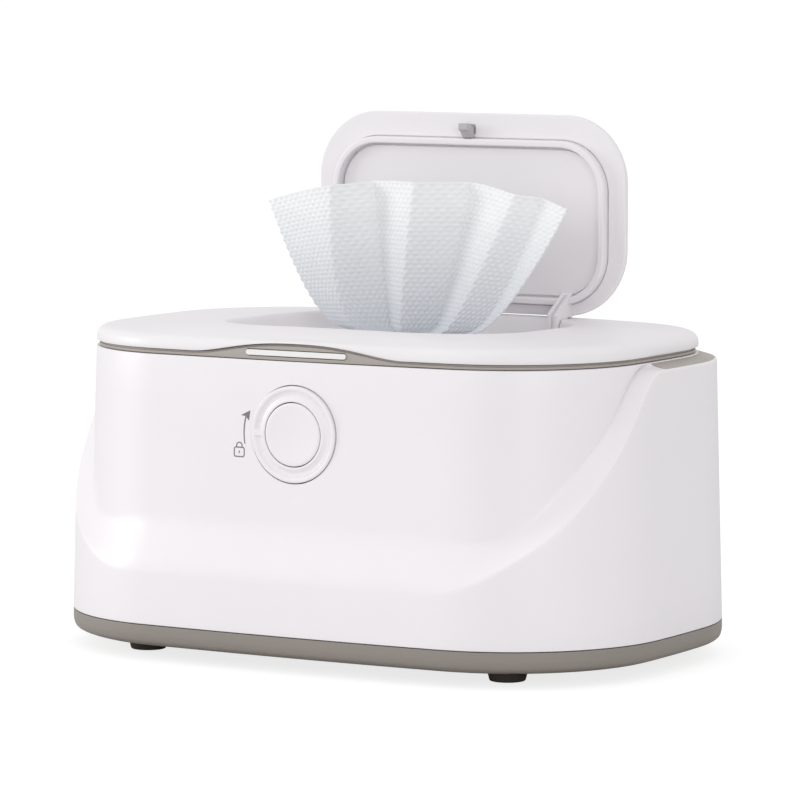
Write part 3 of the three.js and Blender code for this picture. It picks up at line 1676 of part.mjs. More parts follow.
function hookSocket(grow) {
  return block(
    -hookHalfWidth - grow, hookHalfWidth + grow,
    flipInnerY - overrun, flipInnerY + hookRoot / 2 + grow,
    hookBottom + hookLip - grow, hookTop - hookLip / 2 + grow,
  );
}

// The grey hook that stands out of the flip lid's inner face
function flipHook() {
  const face = flipInnerY - hookReach;
  const seat = flipInnerY - fit / 2;
  const corners = [
    [seat, hookBottom + hookLip / 2],
    [seat, hookTop],
    [face + hookLip, hookTop],
    [face, hookTop - hookLip],
    [face, hookBottom + hookLip * 0.6],
    [face + hookLip, hookBottom],
    [face + hookLip * 1.8, hookBottom + hookLip * 0.8],
  ];
  const body = plateX([...corners].reverse(), -hookHalfWidth, hookHalfWidth);
  const root = block(
    -hookHalfWidth + fit, hookHalfWidth - fit,
    seat - overrun, flipInnerY + hookRoot / 2 - fit,
    hookBottom + hookLip + fit, hookTop - hookLip / 2 - fit,
  );
  return join(body, root);
}

// A place across the wipe between two of its fold lines, at a share of the way up its fan
function foldPlace(column, up) {
  const lerp = THREE.MathUtils.lerp;
  const last = wipeFoldShares.length - 2;
  const line = Math.min(Math.floor(column / wipeFoldSteps), last);
  const part = column / wipeFoldSteps - line;
  const [left, right] = [wipeFoldShares[line], wipeFoldShares[line + 1]];
  return {
    across: lerp(lerp(left.throat, left.top, up), lerp(right.throat, right.top, up), part),
    fold: lerp(left.depth, right.depth, smooth(part, 0, 1)),
  };
}

// The wipe's middle surface at a column, on a row counted from its tail: first the tail in the tub,
// then the throat where it opens out, then the fan above the dish
function wipePoint(column, j) {
  const lerp = THREE.MathUtils.lerp;
  const up = Math.max((j - wipeTailRows - wipeThroatRows) / wipeFanRows, 0);
  const { across, fold } = foldPlace(column, up);
  const side = 2 * across - 1;
  const gather = Math.cos(2 * Math.PI * wipeGathers * across);
  const throatX = lerp(wipeThroatLeft, wipeThroatRight, across);
  if (j <= wipeTailRows) {
    const share = j / wipeTailRows;
    const half = lerp(wipeTailHalfWidth, wipeSlotHalfWidth, share);
    return { x: side * half, y: wipeY + gather * wipeSlotDepth, z: lerp(wipeTailBottom, wipeSlotZ, share) };
  }
  if (j <= wipeTailRows + wipeThroatRows) {
    const share = (j - wipeTailRows) / wipeThroatRows;
    return {
      x: lerp(side * wipeSlotHalfWidth, throatX, share ** 1.2),
      y: wipeY + lerp(wipeSlotDepth, wipeThroatDepth, share) * lerp(gather, fold, share),
      z: lerp(wipeSlotZ, wipeThroatZ, share),
    };
  }
  const edgeZ = lerp(wipeEdgeLeftZ, wipeEdgeRightZ, across);
  const crownZ = edgeZ + (wipeCrownZ - (wipeEdgeLeftZ + wipeEdgeRightZ) / 2) * (1 - Math.abs(side) ** 2.2);
  return {
    x: lerp(throatX, lerp(wipeCornerLeft, wipeCornerRight, across), up ** 0.86),
    y: wipeY + lerp(wipeThroatDepth, wipeTopDepth, up ** 0.8) * fold,
    z: lerp(wipeThroatZ, crownZ, up),
  };
}

// The wipe as one closed sheet with its main folds
function wipe() {
  const half = wipeThickness / 2;
  const columns = (wipeFoldShares.length - 1) * wipeFoldSteps;
  const rows = wipeTailRows + wipeThroatRows + wipeFanRows;
  const positions = [];
  const index = [];
  const place = (i, j, face) => (j * (columns + 1) + i) * 2 + face;
  for (let j = 0; j <= rows; j++) {
    for (let i = 0; i <= columns; i++) {
      const { x, y, z } = wipePoint(i, j);
      positions.push(x, y - half, z, x, y + half, z);
    }
  }
  for (let j = 0; j < rows; j++) {
    for (let i = 0; i < columns; i++) {
      const [a, b, c, d] = [place(i, j, 0), place(i + 1, j, 0), place(i + 1, j + 1, 0), place(i, j + 1, 0)];
      index.push(a, b, c, a, c, d, a + 1, c + 1, b + 1, a + 1, d + 1, c + 1);
    }
    const [l, m] = [place(0, j, 0), place(0, j + 1, 0)];
    index.push(l, m, m + 1, l, m + 1, l + 1);
    const [r, q] = [place(columns, j, 0), place(columns, j + 1, 0)];
    index.push(r, q + 1, q, r, r + 1, q + 1);
  }
  for (let i = 0; i < columns; i++) {
    const [a, b] = [place(i, 0, 0), place(i + 1, 0, 0)];
    index.push(a, a + 1, b + 1, a, b + 1, b);
    const [c, d] = [place(i, rows, 0), place(i + 1, rows, 0)];
    index.push(c, d + 1, c + 1, c, d, d + 1);
  }
  const geometry = new THREE.BufferGeometry();
  geometry.setAttribute("position", new THREE.Float32BufferAttribute(positions, 3));
  geometry.setIndex(index);
  return solidFrom(geometry);
}

// The scene graph: the fixed housing, and the pieces that move with the main lid, the flip lid and the
// button each in their own group
const group = new THREE.Group();
group.name = "baby_wipe_warmer";

function part(parent, name, solid, finish) {
  const mesh = new THREE.Mesh(geometryFrom(solid), new THREE.MeshStandardMaterial(finishes[finish]));
  mesh.name = name;
  parent.add(mesh);
}

function subGroup(name) {
  const sub = new THREE.Group();
  sub.name = name;
  group.add(sub);
  return sub;
}

const housing = subGroup("housing_group");
part(housing, "housing_shell", housingShell(), "glossWhite");
part(housing, "base_tray", baseTray(), "baseTaupe");
part(housing, "trim_ring", trimRing(), "taupe");
const cornerNames = ["front_left", "front_right", "rear_left", "rear_right"];
footPlaces().forEach((place, i) => part(housing, "foot_" + cornerNames[i], foot(place), "rubber"));
screwPlaces().forEach((place, i) => part(housing, "base_screw_" + cornerNames[i], baseScrew(place), "steel"));
part(housing, "light_bar", lightBar(), "diffuser");
part(housing, "light_board", lightBoard(), "board");
part(housing, "inner_tub", innerTub(), "innerWhite");
part(housing, "heater_plate", heaterPlate(), "aluminium");
part(housing, "heater_film", heaterFilm(), "film");
part(housing, "thermostat", thermostat(), "black");
part(housing, "insulation_pad", insulationPad(), "foam");
part(housing, "control_board", controlBoard(), "board");
part(housing, "power_socket", powerSocket(), "black");
part(housing, "button_guide", buttonGuide(), "innerWhite");
part(housing, "guide_screw_left", guideScrew(-guideStandoffX), "steel");
part(housing, "guide_screw_right", guideScrew(guideStandoffX), "steel");
part(housing, "button_spring", buttonSpring(), "steel");
part(housing, "lid_hinge_pin_left", mainHingePin(-1), "steel");
part(housing, "lid_hinge_pin_right", mainHingePin(1), "steel");

const button = subGroup("button_group");
part(button, "push_button", pushButton(), "glossWhite");
part(button, "latch_slide", latchSlide(), "innerWhite");

const ring = subGroup("ring_group");
part(ring, "lock_ring", lockRing(), "glossWhite");

const lid = subGroup("main_lid_group");
part(lid, "main_lid", mainLid(), "lidWhite");
part(lid, "latch_tongue", latchTongue(), "innerWhite");
part(lid, "lid_gasket", lidGasket(), "silicone");
part(lid, "orifice_frame", orificeFrame(), "lidWhite");
part(lid, "orifice_insert", orificeInsert(), "silicone");
part(lid, "hook_catch", hookCatch(), "hookGrey");
part(lid, "flip_hinge_pin_left", flipPinRod(-1, 0), "steel");
part(lid, "flip_hinge_pin_right", flipPinRod(1, 0), "steel");
part(lid, "wipe", wipe(), "cloth");

const flip = subGroup("flip_lid_group");
part(flip, "flip_lid", flipLid(), "lidWhite");
part(flip, "flip_hook", flipHook(), "hookGrey");

export default group;
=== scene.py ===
"""Looks of the baby wipe warmer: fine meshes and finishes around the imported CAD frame.

Sizes in the classes are millimetres, in the frame of the part: +X to the right, +Y to the rear hinge, +Z up,
and the origin on the table under the middle of the base. Meshes are in metres.
"""

import json
import logging
import math
from dataclasses import dataclass, field
from enum import Enum
from typing import Iterable, Optional, Sequence

import bmesh
import bpy
from mathutils import Matrix, Vector, noise

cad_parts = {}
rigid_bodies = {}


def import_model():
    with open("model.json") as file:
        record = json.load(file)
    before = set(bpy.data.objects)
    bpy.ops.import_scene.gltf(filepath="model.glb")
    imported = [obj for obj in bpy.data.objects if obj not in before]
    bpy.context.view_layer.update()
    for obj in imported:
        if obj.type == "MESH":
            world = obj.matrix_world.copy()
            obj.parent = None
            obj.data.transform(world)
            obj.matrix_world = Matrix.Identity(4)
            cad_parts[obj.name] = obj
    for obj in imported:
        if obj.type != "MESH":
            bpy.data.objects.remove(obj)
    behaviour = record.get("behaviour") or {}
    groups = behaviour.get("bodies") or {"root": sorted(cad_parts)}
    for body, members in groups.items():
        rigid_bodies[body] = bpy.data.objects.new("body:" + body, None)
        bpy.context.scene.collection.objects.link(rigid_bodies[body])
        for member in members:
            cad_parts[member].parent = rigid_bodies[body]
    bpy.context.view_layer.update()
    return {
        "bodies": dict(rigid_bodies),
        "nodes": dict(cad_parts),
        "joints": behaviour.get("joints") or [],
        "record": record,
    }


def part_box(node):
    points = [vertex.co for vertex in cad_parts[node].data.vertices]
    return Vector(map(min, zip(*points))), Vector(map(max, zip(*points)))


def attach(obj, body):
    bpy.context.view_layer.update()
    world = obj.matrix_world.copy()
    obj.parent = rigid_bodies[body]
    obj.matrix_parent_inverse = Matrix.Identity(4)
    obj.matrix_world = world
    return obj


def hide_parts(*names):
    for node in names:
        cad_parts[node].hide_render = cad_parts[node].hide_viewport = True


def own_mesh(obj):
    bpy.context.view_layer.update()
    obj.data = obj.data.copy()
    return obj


log = logging.getLogger("wipe_warmer")

MM = 0.001
FULL_TURN = 2 * math.pi


# Small sums -------------------------------------------------------------------------------------------


def lerp(start: float, end: float, share: float) -> float:
    """The value at a share of the way from start to end."""
    return start + (end - start) * share


def smoothstep(value: float, start: float = 0.0, end: float = 1.0) -> float:
    """0 before start and 1 after end, with soft ends between them."""
    share = min(max((value - start) / (end - start), 0.0), 1.0)
    return share * share * (3 - 2 * share)


def soft_min(first: float, second: float, blend: float) -> float:
    """The lower of two values, with a rounded corner as wide as blend where they cross."""
    share = min(max((1 + (second - first) / blend) / 2, 0.0), 1.0)
    return lerp(second, first, share) - blend * share * (1 - share)


# Outlines and sections --------------------------------------------------------------------------------


@dataclass(frozen=True)
class Station:
    """A place on an outline, its outward direction and its distance from the middle of the side."""

    x: float
    y: float
    nx: float
    ny: float
    along: float

    def at(self, inset: float, z: float) -> Vector:
        """The point this far inside the outline, at a height."""
        return Vector((self.x - self.nx * inset, self.y - self.ny * inset, z))


@dataclass(frozen=True)
class Knot:
    """A corner of a section, and how far its round reaches along each side of it."""

    at: Vector
    reach: float = 0.0


@dataclass(frozen=True)
class StationCounts:
    """How many steps a quarter outline has on its side, corner and front."""

    side: int = 12
    corner: int = 34
    front: int = 24


COUNTS = StationCounts()


def quarter_arc(
    centre: Vector, radius: float, start: float, end: float, steps: int, along: float
) -> list[Station]:
    """Stations on one arc of a quarter outline.

    Args:
        centre: middle of the arc.
        radius: its radius.
        start: angle of its first station, in radians.
        end: angle of its last station.
        steps: number of steps between them.
        along: distance already gone along the outline.

    Returns:
        The stations, both ends included.
    """
    made = []
    for i in range(steps + 1):
        angle = lerp(start, end, i / steps)
        nx, ny = math.cos(angle), math.sin(angle)
        made.append(
            Station(centre.x + radius * nx, centre.y + radius * ny, nx, ny, along + radius * (angle - start))
        )
    return made


def four_quarters(quarter: Sequence[Station]) -> list[Station]:
    """Repeats a quarter outline round both axes.

    Args:
        quarter: stations from the middle of the right side to the middle of the rear.

    Returns:
        The whole outline, anticlockwise seen from above.
    """
    front = [Station(s.x, s.y, s.nx, s.ny, s.along) for s in quarter[:-1]]
    left = [Station(-s.x, s.y, -s.nx, s.ny, s.along) for s in reversed(quarter[1:])]
    back = [Station(-s.x, -s.y, -s.nx, -s.ny, s.along) for s in quarter[:-1]]
    right = [Station(s.x, -s.y, s.nx, -s.ny, s.along) for s in reversed(quarter[1:])]
    return front + left + back + right


def rounded_outline(
    half_width: float, half_depth: float, corner: float, centre_y: float = 0.0,
    counts: StationCounts = COUNTS,
) -> list[Station]:
    """A rectangle with round corners.

    Args:
        half_width: half its size along X.
        half_depth: half its size along Y.
        corner: radius of its corners.
        centre_y: place of its middle along Y.
        counts: steps on each stretch.

    Returns:
        Its stations, in the order that every outline here has.
    """
    on_side = [(half_depth - corner) * i / counts.side for i in range(counts.side)]
    quarter = [Station(half_width, y, 1, 0, y) for y in on_side]
    middle = Vector((half_width - corner, half_depth - corner))
    quarter += quarter_arc(middle, corner, 0, math.pi / 2, counts.corner, half_depth - corner)
    quarter += [
        Station((half_width - corner) * (1 - i / counts.front), half_depth, 0, 1, half_depth)
        for i in range(1, counts.front + 1)
    ]
    return [Station(s.x, s.y + centre_y, s.nx, s.ny, s.along) for s in four_quarters(quarter)]


def rounded_section(knots: Sequence[Knot], steps: int = 4) -> list[Vector]:
    """Rounds the corners of a closed section.

    Args:
        knots: its corners in order.
        steps: number of steps on each round.

    Returns:
        The points of the section, as many for every station that has the same knots.
    """
    points = []
    for i, knot in enumerate(knots):
        if knot.reach <= 0:
            points.append(knot.at.copy())
            continue
        back = knots[i - 1].at - knot.at
        ahead = knots[(i + 1) % len(knots)].at - knot.at
        start = knot.at + back.normalized() * min(knot.reach, back.length * 0.46)
        end = knot.at + ahead.normalized() * min(knot.reach, ahead.length * 0.46)
        for k in range(steps + 1):
            share = k / steps
            points.append(start.lerp(knot.at, share).lerp(knot.at.lerp(end, share), share))
    return points


def corners_at(s: Station, *rows: Sequence[float]) -> list[Knot]:
    """Corners of a section at a station, from rows of inset, height and round."""
    return [Knot(s.at(*row[:2]), *row[2:]) for row in rows]


def profile_of(*rows: Sequence[float]) -> list[Knot]:
    """Corners of a turned profile, from rows of radius, distance and round."""
    return [Knot(Vector((*row[:2], 0)), *row[2:]) for row in rows]


# Mesh tools -------------------------------------------------------------------------------------------


def finish_mesh(name: str, bm: bmesh.types.BMesh, crease_degrees: float = 32.0) -> bpy.types.Object:
    """Turns a bmesh in millimetres into an object in metres, smooth but for its creases.

    Args:
        name: name of the piece.
        bm: its mesh, which is freed.
        crease_degrees: edges that turn by more stay sharp.

    Returns:
        The object, at the origin.
    """
    bmesh.ops.recalc_face_normals(bm, faces=bm.faces)
    bmesh.ops.scale(bm, vec=(MM, MM, MM), verts=bm.verts)
    mesh = bpy.data.meshes.new(name)
    bm.to_mesh(mesh)
    bm.free()
    mesh.shade_smooth()
    mesh.set_sharp_from_angle(angle=math.radians(crease_degrees))
    obj = bpy.data.objects.new(name, mesh)
    bpy.context.scene.collection.objects.link(obj)
    return obj


def next_ring(bm: bmesh.types.BMesh, ring: list, edges: list) -> tuple[list, list]:
    """Extrudes a ring of edges and finds the new ring in the same order.

    Args:
        bm: the mesh.
        ring: the ring's vertices in order.
        edges: the ring's edges.

    Returns:
        The new vertices in order, and their edges.
    """
    made = bmesh.ops.extrude_edge_only(bm, edges=edges)["geom"]
    fresh = {g for g in made if isinstance(g, bmesh.types.BMVert)}
    partner = {}
    for vert in ring:
        for edge in vert.link_edges:
            other = edge.other_vert(vert)
            if other in fresh:
                partner[vert] = other
    new_ring = [partner[vert] for vert in ring]
    new_edges = [g for g in made if isinstance(g, bmesh.types.BMEdge) and all(v in fresh for v in g.verts)]
    return new_ring, new_edges


def skin(sections: Sequence[Sequence[Vector]], closed: bool) -> bmesh.types.BMesh:
    """Extrudes a ring of vertices through the points of the sections round an outline.

    Args:
        sections: for each station, the points of its section.
        closed: whether each section joins its last point to its first. Otherwise both ends are filled.

    Returns:
        A closed mesh in millimetres.
    """
    bm = bmesh.new()
    ring = list(bmesh.ops.create_circle(bm, segments=len(sections), radius=1)["verts"])
    edges = list(bm.edges)
    for vert, section in zip(ring, sections):
        vert.co = section[0]
    first_ring, first_edges = ring, edges
    for row in range(1, len(sections[0])):
        ring, edges = next_ring(bm, ring, edges)
        for vert, section in zip(ring, sections):
            vert.co = section[row]
    if closed:
        last_ring, _ = next_ring(bm, ring, edges)
        bmesh.ops.weld_verts(bm, targetmap=dict(zip(last_ring, first_ring)))
    else:
        bmesh.ops.contextual_create(bm, geom=first_edges)
        bmesh.ops.contextual_create(bm, geom=edges)
    return bm


def rounded_edges(bm: bmesh.types.BMesh, least_degrees: float, radius: float, steps: int) -> None:
    """Rounds every edge that turns by more than an angle.

    Args:
        bm: the mesh.
        least_degrees: edges that turn by less stay as they are.
        radius: radius of the rounds.
        steps: number of steps on each round.
    """
    edges = [e for e in bm.edges if e.calc_face_angle(0) > math.radians(least_degrees)]
    bmesh.ops.bevel(
        bm, geom=edges, offset=radius, offset_type="OFFSET", affect="EDGES", segments=steps, profile=0.5,
        material=-1, clamp_overlap=True,
    )


def turned(
    profile: Sequence[Knot], axis: Vector, steps: int, round_steps: int = 3
) -> bmesh.types.BMesh:
    """Spins a profile of (radius, distance) corners round an axis through the origin.

    Args:
        profile: closed section, its corners as vectors of radius, distance and 0.
        axis: direction of the axis, +Y or +Z.
        steps: number of steps in the full turn.
        round_steps: number of steps on each round.

    Returns:
        A closed mesh in millimetres, with its distances along the axis.
    """
    bm = bmesh.new()
    along_y = abs(axis.y) > 0.5
    points = rounded_section(profile, round_steps)
    verts = [bm.verts.new((p.x, p.y, 0) if along_y else (p.x, 0, p.y)) for p in points]
    apart = [i for i in range(len(verts)) if (points[i - 1] - points[i]).length > 0]
    loop = [bm.edges.new((verts[i - 1], verts[i])) for i in apart]
    on_axis = [e for e in loop if all(abs(v.co.x) < 1e-6 for v in e.verts)]
    bmesh.ops.delete(bm, geom=on_axis, context="EDGES")
    bmesh.ops.spin(
        bm, geom=list(bm.verts) + list(bm.edges), cent=(0, 0, 0), axis=axis, dvec=(0, 0, 0),
        angle=FULL_TURN, steps=steps, use_merge=True, use_normal_flip=False, use_duplicate=False,
    )
    bmesh.ops.remove_doubles(bm, verts=bm.verts, dist=1e-4)
    return bm


def moved(bm: bmesh.types.BMesh, x: float = 0.0, y: float = 0.0, z: float = 0.0) -> bmesh.types.BMesh:
    """Moves a mesh and returns it."""
    bmesh.ops.translate(bm, vec=(x, y, z), verts=bm.verts)
    return bm


def slab(
    corners: Sequence[Vector], depth: Vector, edge: float = 0.0, edge_steps: int = 2
) -> bmesh.types.BMesh:
    """Pulls a flat outline out into a slab, and rounds its edges.

    Args:
        corners: the outline's corners in order.
        depth: direction and distance of the pull.
        edge: radius of the rounds, or 0 for none.
        edge_steps: number of steps on each round.

    Returns:
        A closed mesh in millimetres.
    """
    bm = bmesh.new()
    face = bm.faces.new([bm.verts.new(c) for c in corners])
    pulled = bmesh.ops.extrude_face_region(bm, geom=[face])["geom"]
    bmesh.ops.translate(bm, vec=depth, verts=[g for g in pulled if isinstance(g, bmesh.types.BMVert)])
    bmesh.ops.recalc_face_normals(bm, faces=bm.faces)
    if edge > 0:
        rounded_edges(bm, 20, edge, edge_steps)
    return bm


def slab_across(
    x0: float, width: float, outline: Sequence[tuple[float, float]], edge: float = 0.0
) -> bmesh.types.BMesh:
    """A slab that runs this wide along X, from an outline of Y and Z places."""
    return slab([Vector((x0, y, z)) for y, z in outline], Vector((width, 0, 0)), edge)


def brick(
    low: tuple[float, float, float], high: tuple[float, float, float], edge: float = 0.0
) -> bmesh.types.BMesh:
    """A box between two corners.

    Args:
        low: its lowest corner.
        high: its highest corner.
        edge: radius of the rounds on its edges, or 0 for none.

    Returns:
        A closed mesh in millimetres.
    """
    x0, y0, z0 = low
    x1, y1, z1 = high
    corners = [Vector((x, y, z0)) for x, y in ((x0, y0), (x1, y0), (x1, y1), (x0, y1))]
    return slab(corners, Vector((0, 0, z1 - z0)), edge)


def block(
    x0: float, x1: float, limits: Sequence[Sequence[float]], edge: float = 0.0
) -> bmesh.types.BMesh:
    """A box between two places along X, its limits given as its lowest and highest Y and Z."""
    low, high = limits
    return brick((x0, *low), (x1, *high), edge)


def on_side(side: int, near: float, far: float) -> tuple[float, float]:
    """Two distances from the middle as places along X on one side, the lower one first."""
    return (near, far) if side > 0 else (-far, -near)


def rod(axis: str, radius: float, start: float, end: float, centre: tuple[float, float], steps: int = 32,
        edge: float = 0.0) -> bmesh.types.BMesh:
    """A round rod along an axis.

    Args:
        axis: "X", "Y" or "Z".
        radius: its radius.
        start: where it starts along the axis.
        end: where it ends.
        centre: its place in the other two axes, in X, Y, Z order.
        steps: number of its sides.
        edge: radius of the rounds at its ends.

    Returns:
        A closed mesh in millimetres.
    """
    bm = bmesh.new()
    bmesh.ops.create_cone(
        bm, cap_ends=True, cap_tris=False, segments=steps, radius1=radius, radius2=radius, depth=end - start
    )
    if edge > 0:
        rounded_edges(bm, 60, edge, 2)
    middle = (start + end) / 2
    if axis != "Z":
        quarter = Matrix.Rotation(math.pi / 2, 3, "Y" if axis == "X" else "X")
        bmesh.ops.rotate(bm, cent=(0, 0, 0), matrix=quarter, verts=bm.verts)
    place = list(centre)
    place.insert("XYZ".index(axis), middle)
    return moved(bm, *place)


class Combine(Enum):
    """How a tool changes a workpiece."""

    ADD = "UNION"
    CUT = "DIFFERENCE"


def combined(
    work: bpy.types.Object, tools: Iterable[bmesh.types.BMesh], how: Combine, crease_degrees: float = 32.0
) -> bpy.types.Object:
    """Adds tools to a workpiece, or cuts them from it, one after the other.

    Args:
        work: the object, whose mesh is exchanged.
        tools: meshes in millimetres, which are freed.
        how: whether they are added or cut.
        crease_degrees: edges that turn by more stay sharp.

    Returns:
        The same object.
    """
    for tool_mesh in tools:
        tool = finish_mesh("tool", tool_mesh)
        step = work.modifiers.new("step", "BOOLEAN")
        step.operation = how.value
        step.solver = "EXACT"
        step.object = tool
        graph = bpy.context.evaluated_depsgraph_get()
        made = bpy.data.meshes.new_from_object(work.evaluated_get(graph))
        work.modifiers.clear()
        old = work.data
        work.data = made
        made.name = old.name
        bpy.data.meshes.remove(old)
        bpy.data.objects.remove(tool)
    work.data.shade_smooth()
    work.data.set_sharp_from_angle(angle=math.radians(crease_degrees))
    return work


def even_shading(obj: bpy.types.Object) -> bpy.types.Object:
    """Keeps broad flat faces flat next to small rounds.

    Args:
        obj: the piece.

    Returns:
        The same piece, with a modifier that weighs its normals.
    """
    weighted = obj.modifiers.new("even shading", "WEIGHTED_NORMAL")
    weighted.mode = "FACE_AREA"
    weighted.keep_sharp = True
    return obj


# Finishes ---------------------------------------------------------------------------------------------


class NodeSheet:
    """Helper that lays out the nodes of one material."""

    def __init__(self, name: str) -> None:
        """Starts a material with an output and a shader on its sheet.

        Args:
            name: name of the material.
        """
        self.material = bpy.data.materials.new(name)
        self.material.use_nodes = True
        self.tree = self.material.node_tree
        self.tree.nodes.clear()
        self.output = self.tree.nodes.new("ShaderNodeOutputMaterial")
        self.shader = self.tree.nodes.new("ShaderNodeBsdfPrincipled")
        self.tree.links.new(self.shader.outputs["BSDF"], self.output.inputs["Surface"])
        self.place = self.tree.nodes.new("ShaderNodeTexCoord").outputs["Object"]

    def link(self, source: bpy.types.NodeSocket, target: bpy.types.NodeSocket) -> None:
        """Joins two sockets."""
        self.tree.links.new(source, target)

    def drive(self, name: str, source: bpy.types.NodeSocket) -> None:
        """Joins a socket to one of the shader's inputs."""
        self.link(source, self.shader.inputs[name])

    def fix(self, **values: object) -> None:
        """Sets even values on the shader's own sockets, which are named with _ for each space."""
        for name, value in values.items():
            self.shader.inputs[name.replace("_", " ")].default_value = value

    def node(self, kind: str, **values: object) -> bpy.types.Node:
        """A new node with even values on its sockets.

        Args:
            kind: its type, without the word that all types begin with.
            values: values of its sockets, whose names have _ for each space.

        Returns:
            The node.
        """
        made = self.tree.nodes.new("ShaderNode" + kind)
        for name, value in values.items():
            made.inputs[name.replace("_", " ")].default_value = value
        return made

    def noise(self, scale: float, detail: float = 2.0, stretch: tuple[float, float, float] = (1, 1, 1)
              ) -> bpy.types.NodeSocket:
        """A noise pattern over the object.

        Args:
            scale: features per metre.
            detail: number of finer layers.
            stretch: scale along each axis.

        Returns:
            Its value socket.
        """
        mapping = self.node("Mapping", Scale=stretch)
        self.link(self.place, mapping.inputs["Vector"])
        pattern = self.node("TexNoise", Scale=scale, Detail=detail)
        self.link(mapping.outputs["Vector"], pattern.inputs["Vector"])
        return pattern.outputs["Fac"]

    def ranged(self, value: bpy.types.NodeSocket, low: float, high: float) -> bpy.types.NodeSocket:
        """Spreads a pattern's middle values over a new range.

        Args:
            value: the pattern.
            low: what its low values become.
            high: what its high values become.

        Returns:
            The socket of the new values.
        """
        spread = self.node("MapRange", From_Min=0.3, From_Max=0.7, To_Min=low, To_Max=high)
        self.link(value, spread.inputs["Value"])
        return spread.outputs["Result"]

    def tinted(self, value: bpy.types.NodeSocket, first: Sequence[float], second: Sequence[float]
               ) -> bpy.types.NodeSocket:
        """Blends two colours by a pattern.

        Args:
            value: the pattern.
            first: colour where it is low.
            second: colour where it is high.

        Returns:
            The colour socket.
        """
        ramp = self.tree.nodes.new("ShaderNodeValToRGB")
        ramp.color_ramp.interpolation = "EASE"
        ramp.color_ramp.elements[0].position = 0.2
        ramp.color_ramp.elements[0].color = (*first, 1)
        ramp.color_ramp.elements[1].position = 0.8
        ramp.color_ramp.elements[1].color = (*second, 1)
        self.link(value, ramp.inputs["Fac"])
        return ramp.outputs["Color"]

    def bump(self, height: bpy.types.NodeSocket, strength: float, distance: float,
             under: Optional[bpy.types.NodeSocket] = None) -> bpy.types.NodeSocket:
        """A bump from a height pattern.

        Args:
            height: the pattern.
            strength: share of it that shows.
            distance: its height, in metres.
            under: the bump that it lies on, if any.

        Returns:
            The normal socket.
        """
        node = self.node("Bump", Strength=strength, Distance=distance)
        self.link(height, node.inputs["Height"])
        if under is not None:
            self.link(under, node.inputs["Normal"])
        return node.outputs["Normal"]


def shade(colour: Sequence[float], factor: float) -> tuple[float, float, float]:
    """A colour made darker or lighter by a factor."""
    return (colour[0] * factor, colour[1] * factor, colour[2] * factor)


@dataclass(frozen=True)
class Plastic:
    """Moulded plastic: gloss, a faint flow in its colour and the grain of its mould."""

    name: str
    colour: tuple[float, float, float]
    roughness: float
    spread: float = 0.04
    mottle: float = 0.975
    grain_scale: float = 900.0
    grain_strength: float = 0.05
    grain_depth: float = 0.00002
    subsurface: float = 0.0

    def build(self) -> bpy.types.Material:
        """Makes the material.

        Returns:
            The material, with its nodes laid out.
        """
        sheet = NodeSheet(self.name)
        flow = sheet.noise(14.0, 3.0)
        sheet.drive("Base Color", sheet.tinted(flow, shade(self.colour, self.mottle), self.colour))
        wear = sheet.noise(60.0, 4.0)
        low, high = self.roughness - self.spread, self.roughness + self.spread
        sheet.drive("Roughness", sheet.ranged(wear, low, high))
        broad = sheet.bump(sheet.noise(45.0, 1.0), 0.04, 0.0002)
        grain = sheet.noise(self.grain_scale, 2.0)
        sheet.drive("Normal", sheet.bump(grain, self.grain_strength, self.grain_depth, broad))
        sheet.fix(Subsurface_Weight=self.subsurface, Subsurface_Radius=(0.004, 0.004, 0.004))
        return sheet.material


@dataclass(frozen=True)
class Rubber:
    """Soft matt rubber or foam with a coarse skin."""

    name: str
    colour: tuple[float, float, float]
    roughness: float = 0.85
    cell_scale: float = 1400.0
    depth: float = 0.0001

    def build(self) -> bpy.types.Material:
        """Makes the material.

        Returns:
            The material, with its nodes laid out.
        """
        sheet = NodeSheet(self.name)
        dust = sheet.noise(120.0, 4.0)
        sheet.drive("Base Color", sheet.tinted(dust, shade(self.colour, 0.8), shade(self.colour, 1.15)))
        sheet.drive("Roughness", sheet.ranged(dust, self.roughness - 0.08, self.roughness + 0.05))
        sheet.drive("Normal", sheet.bump(sheet.noise(self.cell_scale, 3.0), 0.35, self.depth))
        return sheet.material


@dataclass(frozen=True)
class Metal:
    """Turned or rolled metal with fine lines along one axis."""

    name: str
    colour: tuple[float, float, float]
    roughness: float = 0.32
    lines: tuple[float, float, float] = (60.0, 1.0, 1.0)

    def build(self) -> bpy.types.Material:
        """Makes the material.

        Returns:
            The material, with its nodes laid out.
        """
        sheet = NodeSheet(self.name)
        rolled = sheet.noise(55.0, 4.0, self.lines)
        sheet.drive("Base Color", sheet.tinted(rolled, shade(self.colour, 0.9), self.colour))
        sheet.drive("Roughness", sheet.ranged(rolled, self.roughness - 0.07, self.roughness + 0.1))
        sheet.drive("Normal", sheet.bump(rolled, 0.15, 0.00003))
        sheet.fix(Metallic=1.0)
        return sheet.material


@dataclass(frozen=True)
class Laminate:
    """Circuit board or heater film: a sheet with tracks that show through its skin."""

    name: str
    skin_colour: tuple[float, float, float]
    track_colour: tuple[float, float, float]
    pitch: float = 420.0
    roughness: float = 0.35

    def build(self) -> bpy.types.Material:
        """Makes the material.

        Returns:
            The material, with its nodes laid out.
        """
        sheet = NodeSheet(self.name)
        cells = sheet.node("TexVoronoi", Scale=self.pitch)
        cells.distance = "CHEBYCHEV"
        cells.feature = "F1"
        sheet.link(sheet.place, cells.inputs["Vector"])
        tracks = cells.outputs["Distance"]
        sheet.drive("Base Color", sheet.tinted(tracks, self.track_colour, self.skin_colour))
        sheet.drive("Normal", sheet.bump(tracks, 0.1, 0.00004))
        gloss = sheet.noise(90.0)
        sheet.drive("Roughness", sheet.ranged(gloss, self.roughness - 0.05, self.roughness + 0.08))
        return sheet.material


